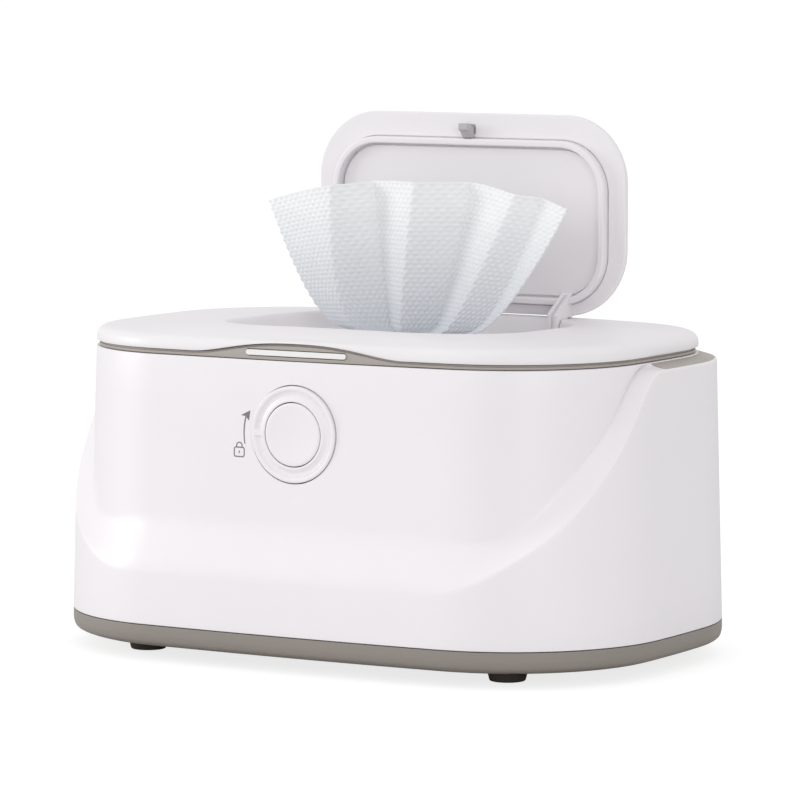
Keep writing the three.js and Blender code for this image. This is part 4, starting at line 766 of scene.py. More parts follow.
@dataclass(frozen=True)
class NonWoven:
    """The wipe: white fibres, with painted shade that darkens the colour to a cool grey towards the slot."""

    name: str
    colour: tuple[float, float, float]
    # Painted shade: the cool grey of the lower fan near the throat, and the heights in metres over which it
    # fades out.
    painted_shade: tuple[float, float, float] = (0.56, 0.585, 0.63)
    painted_shade_span: tuple[float, float] = (0.112, 0.16)

    def build(self) -> bpy.types.Material:
        """Makes the material.

        Returns:
            The material, with its nodes laid out.
        """
        sheet = NodeSheet(self.name)
        cloud = sheet.noise(70.0, 4.0)
        parts = sheet.node("SeparateXYZ")
        sheet.link(sheet.place, parts.inputs["Vector"])
        # Painted shade: below 0.16 m the base colour darkens towards the cool grey, fully at 0.112 m near the
        # throat.
        unshaded_share = sheet.node("MapRange", From_Min=self.painted_shade_span[0], From_Max=self.painted_shade_span[1])
        sheet.link(parts.outputs["Z"], unshaded_share.inputs["Value"])
        blend = sheet.node("Mix")
        blend.data_type = "RGBA"
        blend.inputs["A"].default_value = (*self.painted_shade, 1)
        sheet.link(unshaded_share.outputs["Result"], blend.inputs["Factor"])
        sheet.link(sheet.tinted(cloud, shade(self.colour, 0.96), self.colour), blend.inputs["B"])
        sheet.drive("Base Color", blend.outputs["Result"])
        fibres = sheet.noise(2600.0, 5.0, (1.0, 1.0, 0.35))
        sheet.drive("Normal", sheet.bump(fibres, 0.25, 0.00008))
        sheet.drive("Roughness", sheet.ranged(cloud, 0.86, 0.98))
        sheet.fix(Sheen_Weight=0.25, Sheen_Roughness=0.5)
        sheet.fix(Subsurface_Weight=0.15, Subsurface_Radius=(0.0015, 0.0015, 0.0015))
        return sheet.material


class Finish(Enum):
    """The finishes of the part's pieces."""

    BODY = Plastic("gloss white body", (0.865, 0.835, 0.86), 0.34, grain_strength=0.03)
    LID = Plastic("satin white lid", (0.84, 0.815, 0.835), 0.4, grain_strength=0.06)
    TRIM = Plastic("satin taupe trim", (0.41, 0.37, 0.34), 0.46, grain_strength=0.2, grain_depth=0.00004)
    BASE = Plastic("satin taupe base", (0.27, 0.24, 0.215), 0.5, grain_strength=0.25, grain_depth=0.00005)
    INNER = Plastic("off-white polypropylene", (0.7, 0.71, 0.73), 0.5, grain_strength=0.12)
    DIFFUSER = Plastic("milky diffuser", (0.86, 0.855, 0.85), 0.3, subsurface=0.2)
    HOOK = Plastic("grey acetal", (0.47, 0.46, 0.465), 0.45, grain_strength=0.1)
    BLACK = Plastic("black moulding", (0.02, 0.02, 0.022), 0.45, grain_strength=0.2)
    INK = Plastic("grey ink", (0.2, 0.2, 0.21), 0.6, mottle=0.93, grain_strength=0.0)
    SILICONE = Plastic("soft silicone", (0.62, 0.63, 0.65), 0.55, grain_strength=0.1, subsurface=0.15)
    FOOT = Rubber("dark rubber", (0.07, 0.057, 0.047))
    FOAM = Rubber("closed-cell foam", (0.1, 0.1, 0.11), 0.95, 900.0, 0.0003)
    STEEL = Metal("plain steel", (0.6, 0.61, 0.63))
    ALUMINIUM = Metal("rolled aluminium", (0.78, 0.79, 0.8), 0.38, (1.0, 50.0, 1.0))
    FILM = Laminate("heater film", (0.5, 0.16, 0.04), (0.62, 0.3, 0.12), 160.0)
    BOARD = Laminate("circuit board", (0.02, 0.14, 0.06), (0.05, 0.25, 0.1))
    LIGHT_BOARD = Laminate("white circuit board", (0.5, 0.49, 0.47), (0.56, 0.55, 0.53))
    CLOTH = NonWoven("non-woven wipe", (0.86, 0.87, 0.875))


class FinishShelf:
    """Builds each finish once and hands it out."""

    def __init__(self) -> None:
        """Starts with an empty shelf."""
        self.made: dict[Finish, bpy.types.Material] = {}

    def take(self, finish: Finish) -> bpy.types.Material:
        """The material of a finish, built when it is first asked for.

        Args:
            finish: the finish.

        Returns:
            Its material.
        """
        if finish not in self.made:
            self.made[finish] = finish.value.build()
        return self.made[finish]


# Sub-assemblies ---------------------------------------------------------------------------------------


@dataclass
class SubAssembly:
    """A group of pieces that ride on one body.

    Attributes:
        frame: the loaded frame.
        shelf: where the finishes come from.
        body: the CAD body that the pieces ride on.
    """

    frame: dict
    shelf: FinishShelf
    body: str = "housing"
    pieces: list = field(default_factory=list)

    def add(self, obj: bpy.types.Object, finish: Finish, slot: str, replaces: Sequence[str] = ()
            ) -> bpy.types.Object:
        """Dresses a finished piece and sets it on the body.

        Args:
            obj: the piece.
            finish: its finish.
            slot: the record's material slot; not used.
            replaces: CAD nodes that it stands for.

        Returns:
            The piece.
        """
        obj.data.materials.clear()
        obj.data.materials.append(self.shelf.take(finish))
        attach(obj, self.body)
        if replaces:
            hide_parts(*replaces)
        self.pieces.append(obj)
        log.info("%s: %d faces on %s", obj.name, len(obj.data.polygons), self.body)
        return obj

    def dress(self, finish: Finish, *nodes: str) -> None:
        """Gives carried CAD nodes their finish.

        Args:
            finish: the finish.
            nodes: names of the CAD nodes.
        """
        for node in nodes:
            for slot in self.frame["nodes"][node].material_slots:
                slot.material = self.shelf.take(finish)
            log.info("%s: CAD node dressed", node)


@dataclass(frozen=True)
class BodyForm:
    """The shapes that the housing, trim, tub and lid share."""

    half_width: float = 118.2
    half_depth: float = 78.7
    corner: float = 60.6
    front_sag: float = 5.4
    side_sag: float = 6.2
    base_bottom: float = 4.7
    base_top: float = 13.0
    shell_bottom: float = 13.3
    panel_top: float = 109.8
    side_draft: float = 2.5
    panel_inset: float = 9.1
    panel_draft: float = 3.7
    ledge: float = 107.6
    ledge_rise: float = 1.9
    sweep_low: float = 37.0
    sweep_start: float = 19.5
    left_lead: float = 13.0
    sweep_end: float = 109.0
    sweep_blend: float = 12.0
    sweep_band: float = 10.4
    facet_start: float = 27.0
    facet_end: float = 47.0
    gutter_start: float = 8.0
    gutter_full: float = 20.0
    undercut_fade: float = 22.0
    undercut_end: float = 90.0
    gutter_rise: float = 0.2
    band_start: float = 14.0
    band_end: float = 58.0
    soft_start: float = 74.0
    soft_end: float = 125.0
    soft_spread: float = 12.0
    hollow: float = 1.6
    wall: float = 2.5
    trim_bottom: float = 110.1
    trim_top: float = 111.6
    trim_inset: float = 9.5
    trim_width: float = 2.5
    crest_height: float = 4.2
    crest_half: float = 44.0
    lid_bottom: float = 111.9
    lid_inset: float = 9.1
    button_z: float = 84.2
    arm_half: float = 2.3
    arm_play: float = 0.35
    light_z: float = 112.5

    def radius_for(self, half: float, sag: float) -> float:
        """Radius of a shallow arc of this half length and sag."""
        return (half**2 + sag**2) / (2 * sag)

    def outline(self, counts: StationCounts = COUNTS) -> list[Station]:
        """The bowed outline of the housing, as arcs that touch each other.

        Args:
            counts: steps on each arc.

        Returns:
            Its stations, anticlockwise seen from above.
        """
        back_radius = self.radius_for(self.half_width, self.front_sag)
        flank_radius = self.radius_for(self.half_depth, self.side_sag)
        back = Vector((0, self.half_depth - back_radius))
        flank = Vector((self.half_width - flank_radius, 0))
        back_reach = back_radius - self.corner
        flank_reach = flank_radius - self.corner
        apart = flank - back
        near = (back_reach**2 - flank_reach**2 + apart.length**2) / (2 * apart.length)
        side = math.sqrt(back_reach**2 - near**2)
        way = apart.normalized()
        corner = back + way * near + Vector((way.y, -way.x)) * side
        from_flank, from_back = corner - flank, corner - back
        flank_angle = math.atan2(from_flank.y, from_flank.x)
        back_angle = math.atan2(from_back.y, from_back.x)
        arcs = quarter_arc(flank, flank_radius, 0, flank_angle, counts.side, 0)
        arcs += quarter_arc(corner, self.corner, flank_angle, back_angle, counts.corner, arcs[-1].along)[1:]
        arcs += quarter_arc(back, back_radius, back_angle, math.pi / 2, counts.front, arcs[-1].along)[1:]
        return four_quarters(arcs)

    def side_inset(self, z: float) -> float:
        """How far the housing's side leans in at a height."""
        return self.side_draft * (z - self.base_top) / (self.panel_top - self.base_top)

    def front_inset(self, z: float) -> float:
        """How far the front panel stands in at a height."""
        return self.panel_inset - self.panel_draft * (self.panel_top - z) / (self.panel_top - self.base_top)

    def panel_y(self, x: float, z: float) -> float:
        """Place of the front panel's face near its middle.

        Args:
            x: place along X.
            z: height.

        Returns:
            Its place along Y.
        """
        radius = self.radius_for(self.half_width, self.front_sag)
        reach = radius - self.front_inset(z)
        return -(self.half_depth - radius) - math.sqrt(reach**2 - x**2)

    def sweep_along(self, s: Station) -> float:
        """How far a station has come along the sweep, which begins earlier on the left."""
        along = s.along if s.y < 0 else -s.along
        return along + self.left_lead if s.x < 0 else along

    def softness(self, s: Station) -> float:
        """0 where the ridge is crisp, 1 where it has run out."""
        return smoothstep(self.sweep_along(s), self.soft_start, self.soft_end)

    def ridge_z(self, s: Station) -> float:
        """Height of the ridge between the housing's side and the sweep.

        Args:
            s: the station.

        Returns:
            The ledge's height at the sides and rear, and along the front the falling curve of the sweep.
        """
        share = min((self.sweep_along(s) - self.sweep_start) / (self.sweep_end - self.sweep_start), 1.0)
        dip = self.sweep_low + (self.ledge - self.sweep_low) * (1 - share) ** 2
        return soft_min(self.ledge, dip, self.sweep_blend) - self.soft_spread / 2 * self.softness(s)

    def band_z(self, s: Station) -> float:
        """How high the sweep rises above the ridge.

        Args:
            s: the station.

        Returns:
            A low gutter beside the flange, a band along the front, and a broad wave where it runs out.
        """
        along = self.sweep_along(s)
        low = lerp(self.ledge_rise, self.gutter_rise, smoothstep(along, self.gutter_start, self.gutter_full))
        rise = smoothstep(along, self.band_start, self.band_end)
        return lerp(low, self.sweep_band, rise) + self.soft_spread * self.softness(s)

    def band_share(self, s: Station, share: float) -> float:
        """How far in the sweep has come: a facet, then a hollow, then a soft wave.

        Args:
            s: the station.
            share: share of the sweep's height.

        Returns:
            The share of its depth.
        """
        along = self.sweep_along(s)
        facet = smoothstep(along, self.sweep_start, self.facet_start)
        facet -= smoothstep(along, self.facet_end, self.soft_start)
        hollow = lerp(1 - (1 - share) ** 2, share, facet)
        return lerp(hollow, smoothstep(share), self.softness(s))

    def undercut(self, s: Station) -> float:
        """How much deeper the panel runs in beside the sweep's facet.

        Args:
            s: the station.

        Returns:
            The extra depth at the foot of the panel.
        """
        along = self.sweep_along(s)
        grown = smoothstep(along, self.gutter_start, self.band_start)
        return self.hollow * (grown - smoothstep(along, self.undercut_fade, self.undercut_end))

    def crest(self, x: float, y: float) -> float:
        """Height of the wave that the trim makes into the lid."""
        share = abs(x) / self.crest_half
        return self.crest_height * (1 - share**2.5) ** 2 if y < 0 and share < 1 else 0.0


@dataclass(frozen=True)
class HingeLine:
    """A hinge axis along X: where its two sides stand, its pin's bore and the barrels round it."""

    x: float
    y: float
    z: float
    bore: float = 1.5
    barrel: float = 2.6

    def bored(self, x0: float, x1: float) -> bmesh.types.BMesh:
        """The tool that bores the pin's hole between two places."""
        return rod("X", self.bore, x0, x1, (self.y, self.z), 24)

    def knuckle(self, x0: float, x1: float) -> bmesh.types.BMesh:
        """A barrel between two places, with rounded ends."""
        return rod("X", self.barrel, x0, x1, (self.y, self.z), 32, 0.3)


FORM = BodyForm()
REAR_HINGE = HingeLine(45.2, 72.7, 112.4)
FLIP_HINGE = HingeLine(41.2, 48.8, 113.4)
SIDES = (-1, 1)
CORNERS = ("front_left", "front_right", "rear_left", "rear_right")


@dataclass
class Housing(SubAssembly):
    """Shell, base tray, trim ring, feet, screws and socket."""

    side_rows: int = 7
    band_rows: int = 14
    panel_rows: int = 6
    button_hole: float = 17.55
    socket_place: tuple = (60.2, 24.0)
    socket_hole: float = 5.3
    foot_places: tuple = ((-75.0, -50.1), (75.0, -50.1), (-75.0, 50.1), (75.0, 50.1))
    peg_hole: float = 2.8
    screw_well: float = 3.2
    screw_hole: float = 1.7
    vent_places: tuple = (-27.0, -19.0, -11.0, 11.0, 19.0, 27.0)
    vent_half: tuple = (1.5, 13.0, 1.49)
    flange_front: float = -8.0
    step: float = 0.65
    tub_ledge: tuple = (104.5, 106.0)
    barrel_near: float = 5.0
    barrel_length: float = 8.0
    light_slot: tuple = (20.9, 1.3, 1.29)
    light_bar: tuple = (20.6, 1.0, 0.99)
    light_front: float = -69.45
    light_depth: float = 2.75
    light_pocket: tuple = ((-25.3, -66.8, 106.4), (25.3, -60.7, 114.4))
    latch_gap: tuple = ((-9.1, -65.1, 103.5), (9.1, -61.6, 116))
    knuckle_gap: tuple = ((60.7, 111.58), (78.7, 130))

    def shell_section(self, s: Station) -> list[Vector]:
        """Section of the shell: side, ridge, sweep, panel, and the same inside.

        Args:
            s: the station.

        Returns:
            Its points, from the bottom up outside and down inside.
        """
        form = FORM
        ridge, rise = form.ridge_z(s), form.band_z(s)
        foot = ridge + rise
        soft, deep = form.softness(s), form.undercut(s)
        low, high = form.side_inset(ridge), form.front_inset(foot) + deep
        knots = [Knot(s.at(0, form.shell_bottom), 0.35)]
        for i in range(1, self.side_rows):
            z = lerp(form.shell_bottom, ridge - 1.5, i / self.side_rows)
            knots.append(Knot(s.at(form.side_inset(z), z)))
        knots.append(Knot(s.at(low, ridge), lerp(0.9, 3.5, soft)))
        for i in range(1, self.band_rows + 1):
            share = i / self.band_rows
            inset = lerp(low, high, form.band_share(s, share))
            knots.append(Knot(s.at(inset, ridge + rise * share)))
        for i in range(1, self.panel_rows):
            share = (i / self.panel_rows) ** 1.6
            z = lerp(foot, form.panel_top, share)
            knots.append(Knot(s.at(form.front_inset(z) + deep * (1 - share) ** 2, z)))
        top = form.panel_inset
        knots.append(Knot(s.at(top, form.panel_top), 0.1 + 0.15 * min(form.panel_top - foot, 1.0)))
        knots.append(Knot(s.at(top + form.wall, form.panel_top), 0.1))
        run = high - low
        slant = math.hypot(run, rise)
        shelf = 1 - smoothstep(rise, form.ledge_rise, form.sweep_band)
        drop = run * form.wall / slant - rise / run * form.wall * (1 - rise / slant) + 2.0 * shelf
        for share in (1.0, 0.8, 0.6, 0.4, 0.2, 0.05):
            inset = lerp(low, high, form.band_share(s, share)) + form.wall
            knots.append(Knot(s.at(inset, ridge + rise * share - drop)))
        knots.append(Knot(s.at(form.wall, form.shell_bottom), 0.3))
        return rounded_section(knots, 4)

    def build_shell(self) -> None:
        """The white shell, with the holes for the lock ring and the power socket."""
        shell = finish_mesh("shell_skin", skin([self.shell_section(s) for s in FORM.outline()], True), 40)
        ring_hole = rod("Y", self.button_hole, -90, -60, (0, FORM.button_z), 96)
        socket_hole = rod("Y", self.socket_hole, 60, 90, self.socket_place, 48)
        combined(shell, [ring_hole, socket_hole], Combine.CUT, 40)
        self.add(shell, Finish.BODY, "gloss_white", ["housing_shell"])

    def tray_section(self, s: Station) -> list[Vector]:
        """Section of the base tray.

        Args:
            s: the station.

        Returns:
            Its points, from the middle of the floor out below, up, and back in above.
        """
        bottom, top = FORM.base_bottom, FORM.base_top
        return rounded_section(corners_at(
            s,
            (30, bottom), (12, bottom), (6.2, bottom, 2.0), (0.8, bottom + 1.7, 2.6), (0, bottom + 4.4, 1.0),
            (0, top, 0.3), (3.2, top, 0.1), (3.2, top + 3.4, 0.3), (4.8, top + 3.4, 0.3),
            (4.8, bottom + 3.9, 1.0), (7.2, bottom + 2.4, 1.0), (30, bottom + 2.4),
        ))

    def build_base(self) -> None:
        """The taupe base tray with its turned-in edge, locating lip, wells and vents."""
        tray = finish_mesh("tray_skin", skin([self.tray_section(s) for s in FORM.outline()], False))
        cuts = [rod("Z", self.peg_hole, 0, 9, place) for place in self.foot_places]
        for place in self.screw_places():
            cuts.append(rod("Z", self.screw_well, 0, 7.4, place))
            cuts.append(rod("Z", self.screw_hole, 0, 9, place, 24))
        cuts += [self.vent(x) for x in self.vent_places]
        combined(tray, cuts, Combine.CUT)
        self.add(tray, Finish.BASE, "base_taupe", ["base_tray"])

    def vent(self, x: float) -> bmesh.types.BMesh:
        """A slot with round ends through the tray's floor."""
        outline = rounded_outline(*self.vent_half, 0, StationCounts(1, 6, 1))
        return slab([s.at(0, 3.0) + Vector((x, 0, 0)) for s in outline], Vector((0, 0, 6)))

    def screw_places(self) -> list[tuple[float, float]]:
        """Centres of the base screws.

        Returns:
            Their places along X and Y, taken from the CAD nodes.
        """
        places = []
        for corner in CORNERS:
            low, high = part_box("base_screw_" + corner)
            places.append(((low.x + high.x) / 2 / MM, (low.y + high.y) / 2 / MM))
        return places

    def build_feet(self) -> None:
        """The four rubber feet, each with a peg that snaps into the tray."""
        profile = profile_of(
            (0, 0), (4.6, 0), (6.3, 0, 0.5), (7.5, 4.4, 0.4), (2.5, 4.4), (2.5, 7.4), (3.5, 7.4, 0.2),
            (2.5, 9.8, 0.2), (0, 9.8),
        )
        for name, (x, y) in zip(CORNERS, self.foot_places):
            foot = finish_mesh("rubber_foot_" + name, moved(turned(profile, Vector((0, 0, 1)), 40), x, y))
            self.add(foot, Finish.FOOT, "foot_rubber", ["foot_" + name])

    def trim_rim_section(self, s: Station) -> list[Vector]:
        """Section of the trim's band and of the ledge that carries the tub.

        Args:
            s: the station.

        Returns:
            Its points, up the outside and down the inside.
        """
        form = FORM
        wave = form.crest(s.x, s.y)
        outer = form.trim_inset + lerp(0.7, 0, wave / form.crest_height)
        inner = form.trim_inset + form.trim_width
        top, shoulder = form.trim_top + wave, form.trim_inset + 1.5
        low, high = self.tub_ledge
        return rounded_section(corners_at(
            s,
            (outer, form.trim_bottom, 0.1), (outer, top - self.step, 0.12), (shoulder, top - self.step, 0.1),
            (shoulder, top, 0.1), (inner, top, 0.12), (inner + 0.1, form.trim_top, 0.02),
            (inner + 1.6, form.trim_top, 0.2), (inner + 1.6, high, 0.1), (18, high, 0.2), (18, low, 0.2),
            (inner, low, 0.2), (inner, form.trim_bottom, 0.1),
        ), 3)

    def trim_flange_section(self, s: Station) -> list[Vector]:
        """Section of the trim's flange, which covers the shell's ledge at the sides and rear.

        Args:
            s: the station.

        Returns:
            Its points, from the outside in along the top and back underneath.
        """
        form = FORM
        ridge, foot = form.ridge_z(s), form.ridge_z(s) + form.band_z(s)
        outer, inner = form.side_inset(ridge) + 0.3, form.trim_inset + form.trim_width
        return rounded_section(corners_at(
            s,
            (outer, ridge - 1.5, 0.2), (outer, ridge, 0.55), (form.panel_inset, foot, 0.6),
            (inner, foot + 0.75), (inner, foot - 1.5), (form.panel_inset, foot - 1.5, 0.2),
        ), 3)

    def trim_cuts(self) -> list[bmesh.types.BMesh]:
        """Tools for the hinge pins' bore, the light bar's slot, the latch's gap and the lid's knuckles.

        Returns:
            The tools, in the order of their use.
        """
        slot = rounded_outline(*self.light_slot, 0, StationCounts(1, 8, 2))
        cuts = [
            REAR_HINGE.bored(-70, 70),
            slab([Vector((s.x, -90.0, FORM.light_z + s.y)) for s in slot], Vector((0, 26.9, 0))),
            brick(*self.light_pocket),
            brick(*self.latch_gap),
        ]
        for side in SIDES:
            x = side * REAR_HINGE.x
            cuts.append(block(x - self.barrel_near, x + self.barrel_near, self.knuckle_gap))
        return cuts

    def build_trim(self) -> None:
        """The taupe trim: band, flange, hinge barrels and the slots for the light bar and the latch."""
        outline = FORM.outline()
        trim = finish_mesh("trim_skin", skin([self.trim_flange_section(s) for s in outline], True))
        left_front = self.flange_front + FORM.left_lead
        fronts = [
            brick((0, -200, 80), (200, self.flange_front, 130)),
            brick((-200, -200, 20), (1, left_front, 130)),
            brick((-1, -200, 20), (200, self.flange_front, 81)),
        ]
        combined(trim, fronts, Combine.CUT)
        added = [skin([self.trim_rim_section(s) for s in outline], True)]
        for side in SIDES:
            for end in SIDES:
                near = side * REAR_HINGE.x + end * self.barrel_near
                x0, x1 = sorted((near, near + end * self.barrel_length))
                added.append(REAR_HINGE.knuckle(x0, x1))
                foot = (x0, REAR_HINGE.y - 2, FORM.ledge - 0.5)
                added.append(brick(foot, (x1, REAR_HINGE.y + 2, REAR_HINGE.z)))
        combined(trim, added, Combine.ADD)
        combined(trim, self.trim_cuts(), Combine.CUT)
        self.add(trim, Finish.TRIM, "trim_taupe", ["trim_ring"])

    def build_light_bar(self) -> None:
        """The milky bar in the front of the trim."""
        outline = rounded_outline(*self.light_bar, 0, StationCounts(1, 10, 6))
        corners = [Vector((s.x, self.light_front, FORM.light_z + s.y)) for s in outline]
        bar = finish_mesh("light_diffuser", slab(corners, Vector((0, self.light_depth, 0)), 0.25, 3))
        self.add(even_shading(bar), Finish.DIFFUSER, "diffuser", ["light_bar"])

    def build(self) -> None:
        """Makes every piece of the housing and dresses the CAD nodes that stay."""
        self.build_shell()
        self.build_base()
        self.build_feet()
        self.build_trim()
        self.build_light_bar()
        self.dress(Finish.BLACK, "power_socket", "thermostat")
        self.dress(Finish.BOARD, "control_board")
        self.dress(Finish.LIGHT_BOARD, "light_board")
        self.dress(Finish.FOAM, "insulation_pad")
        self.dress(Finish.FILM, "heater_film")
        self.dress(Finish.ALUMINIUM, "heater_plate")
        self.dress(Finish.INNER, "button_guide")
        self.dress(Finish.STEEL, *("base_screw_" + corner for corner in CORNERS))
        self.dress(
            Finish.STEEL, "guide_screw_left", "guide_screw_right", "button_spring", "lid_hinge_pin_left",
            "lid_hinge_pin_right",
        )


@dataclass
class Tub(SubAssembly):
    """The inner tub that holds the pack of wipes."""

    half_width: float = 98.0
    half_depth: float = 54.0
    corner: float = 38.0
    centre_y: float = 4.0
    floor: float = 28.0
    wall: float = 1.8
    draft: float = 3.5
    flange_bottom: float = 106.3
    flange_top: float = 108.1
    flange_inset: float = 14.0
    front_gaps: tuple = (((-9.1, -90, 105), (9.1, -61.6, 110)), ((-25.3, -90, 106), (25.3, -63.5, 115)))

    def build(self) -> None:
        """Makes the tub with its rounded floor and flange."""
        inside = rounded_outline(self.half_width, self.half_depth, self.corner, self.centre_y)
        sections = []
        inner, top = self.draft + self.wall, self.floor + self.wall
        for t, s in zip(inside, FORM.outline()):
            under = (self.draft + 24, self.floor), (self.draft, self.floor, 5.0), (0, self.flange_bottom, 1.0)
            flange = (self.flange_inset, self.flange_bottom, 0.2), (self.flange_inset, self.flange_top, 0.3)
            upper = (self.wall, self.flange_top, 1.6), (inner, top, 7.0), (inner + 22, top)
            knots = corners_at(t, *under) + corners_at(s, *flange) + corners_at(t, *upper)
            sections.append(rounded_section(knots, 6))
        tub = finish_mesh("tub_skin", skin(sections, False))
        combined(tub, [brick(*gap) for gap in self.front_gaps], Combine.CUT)
        self.add(tub, Finish.INNER, "inner_white", ["inner_tub"])


@dataclass
class PushButton(SubAssembly):
    """The button and its latch slide."""

    body: str = "button"
    radius: float = 11.25
    proud: float = 1.1
    depth: float = 4.0
    stem: float = 3.6
    stem_rear: float = -61.2

    def build(self) -> None:
        """Makes the cap with its shallow dish and stem."""
        face = FORM.front_inset(FORM.button_z) - FORM.half_depth - self.proud
        stem_end = self.stem_rear - face
        profile = profile_of(
            (0, 0.55), (4.0, 0.5), (7.5, 0.3), (self.radius - 1.1, 0.0, 0.6), (self.radius, 0.15, 0.5),
            (self.radius, self.depth, 0.3), (self.stem, self.depth, 0.2), (self.stem, stem_end, 0.3),
            (0, stem_end),
        )
        cap = moved(turned(profile, Vector((0, 1, 0)), 128, 4), 0, face, FORM.button_z)
        self.add(finish_mesh("button_cap", cap), Finish.BODY, "gloss_white", ["push_button"])
        self.dress(Finish.INNER, "latch_slide")


@dataclass
class LockRing(SubAssembly):
    """The turning ring round the button, with its pointer."""

    body: str = "ring"
    outer: float = 17.25
    inner: float = 11.6
    proud: float = 0.9
    rear: float = 3.6
    neck: float = 6.8
    tail: float = 7.9
    grooves: int = 6
    groove_width: float = 0.16
    groove_depth: float = 0.1
    dish: float = 0.6
    pointer_half: float = 1.15

    def build(self) -> None:
        """Makes the dished ring, its fine turned lines and the raised pointer."""
        face = FORM.front_inset(FORM.button_z) - FORM.half_depth - self.proud
        hub, lip = self.inner + 1.6, self.inner + 2.9
        knots = profile_of((self.inner, 0.1, 0.15), (self.inner + 0.55, 0.0, 0.2))
        for i in range(self.grooves + 1):
            share = i / self.grooves
            radius = lerp(self.inner + 0.9, self.outer - 1.5, share)
            depth = self.dish * math.sin(math.pi * share) ** 0.8 + 0.12
            knots += profile_of((radius, depth))
            if i < self.grooves:
                knots += profile_of((radius + self.groove_width, depth + self.groove_depth))
        knots += profile_of(
            (self.outer - 1.1, 0.0, 0.25), (self.outer - 0.1, 0.05, 0.45), (self.outer, self.rear, 0.2),
            (hub, self.rear, 0.2), (hub, self.neck, 0.1), (lip, self.neck, 0.2), (lip, self.tail, 0.2),
            (self.inner, self.tail, 0.2),
        )
        turning = moved(turned(knots, Vector((0, 1, 0)), 144, 3), 0, face, FORM.button_z)
        ring = finish_mesh("lock_ring_skin", turning)
        pointer = brick(
            (-self.outer + 0.5, face + 0.05, FORM.button_z - self.pointer_half),
            (-self.inner - 0.5, face + 2.0, FORM.button_z + self.pointer_half),
            0.35,
        )
        combined(ring, [pointer], Combine.ADD)
        self.add(even_shading(ring), Finish.BODY, "gloss_white", ["lock_ring"])


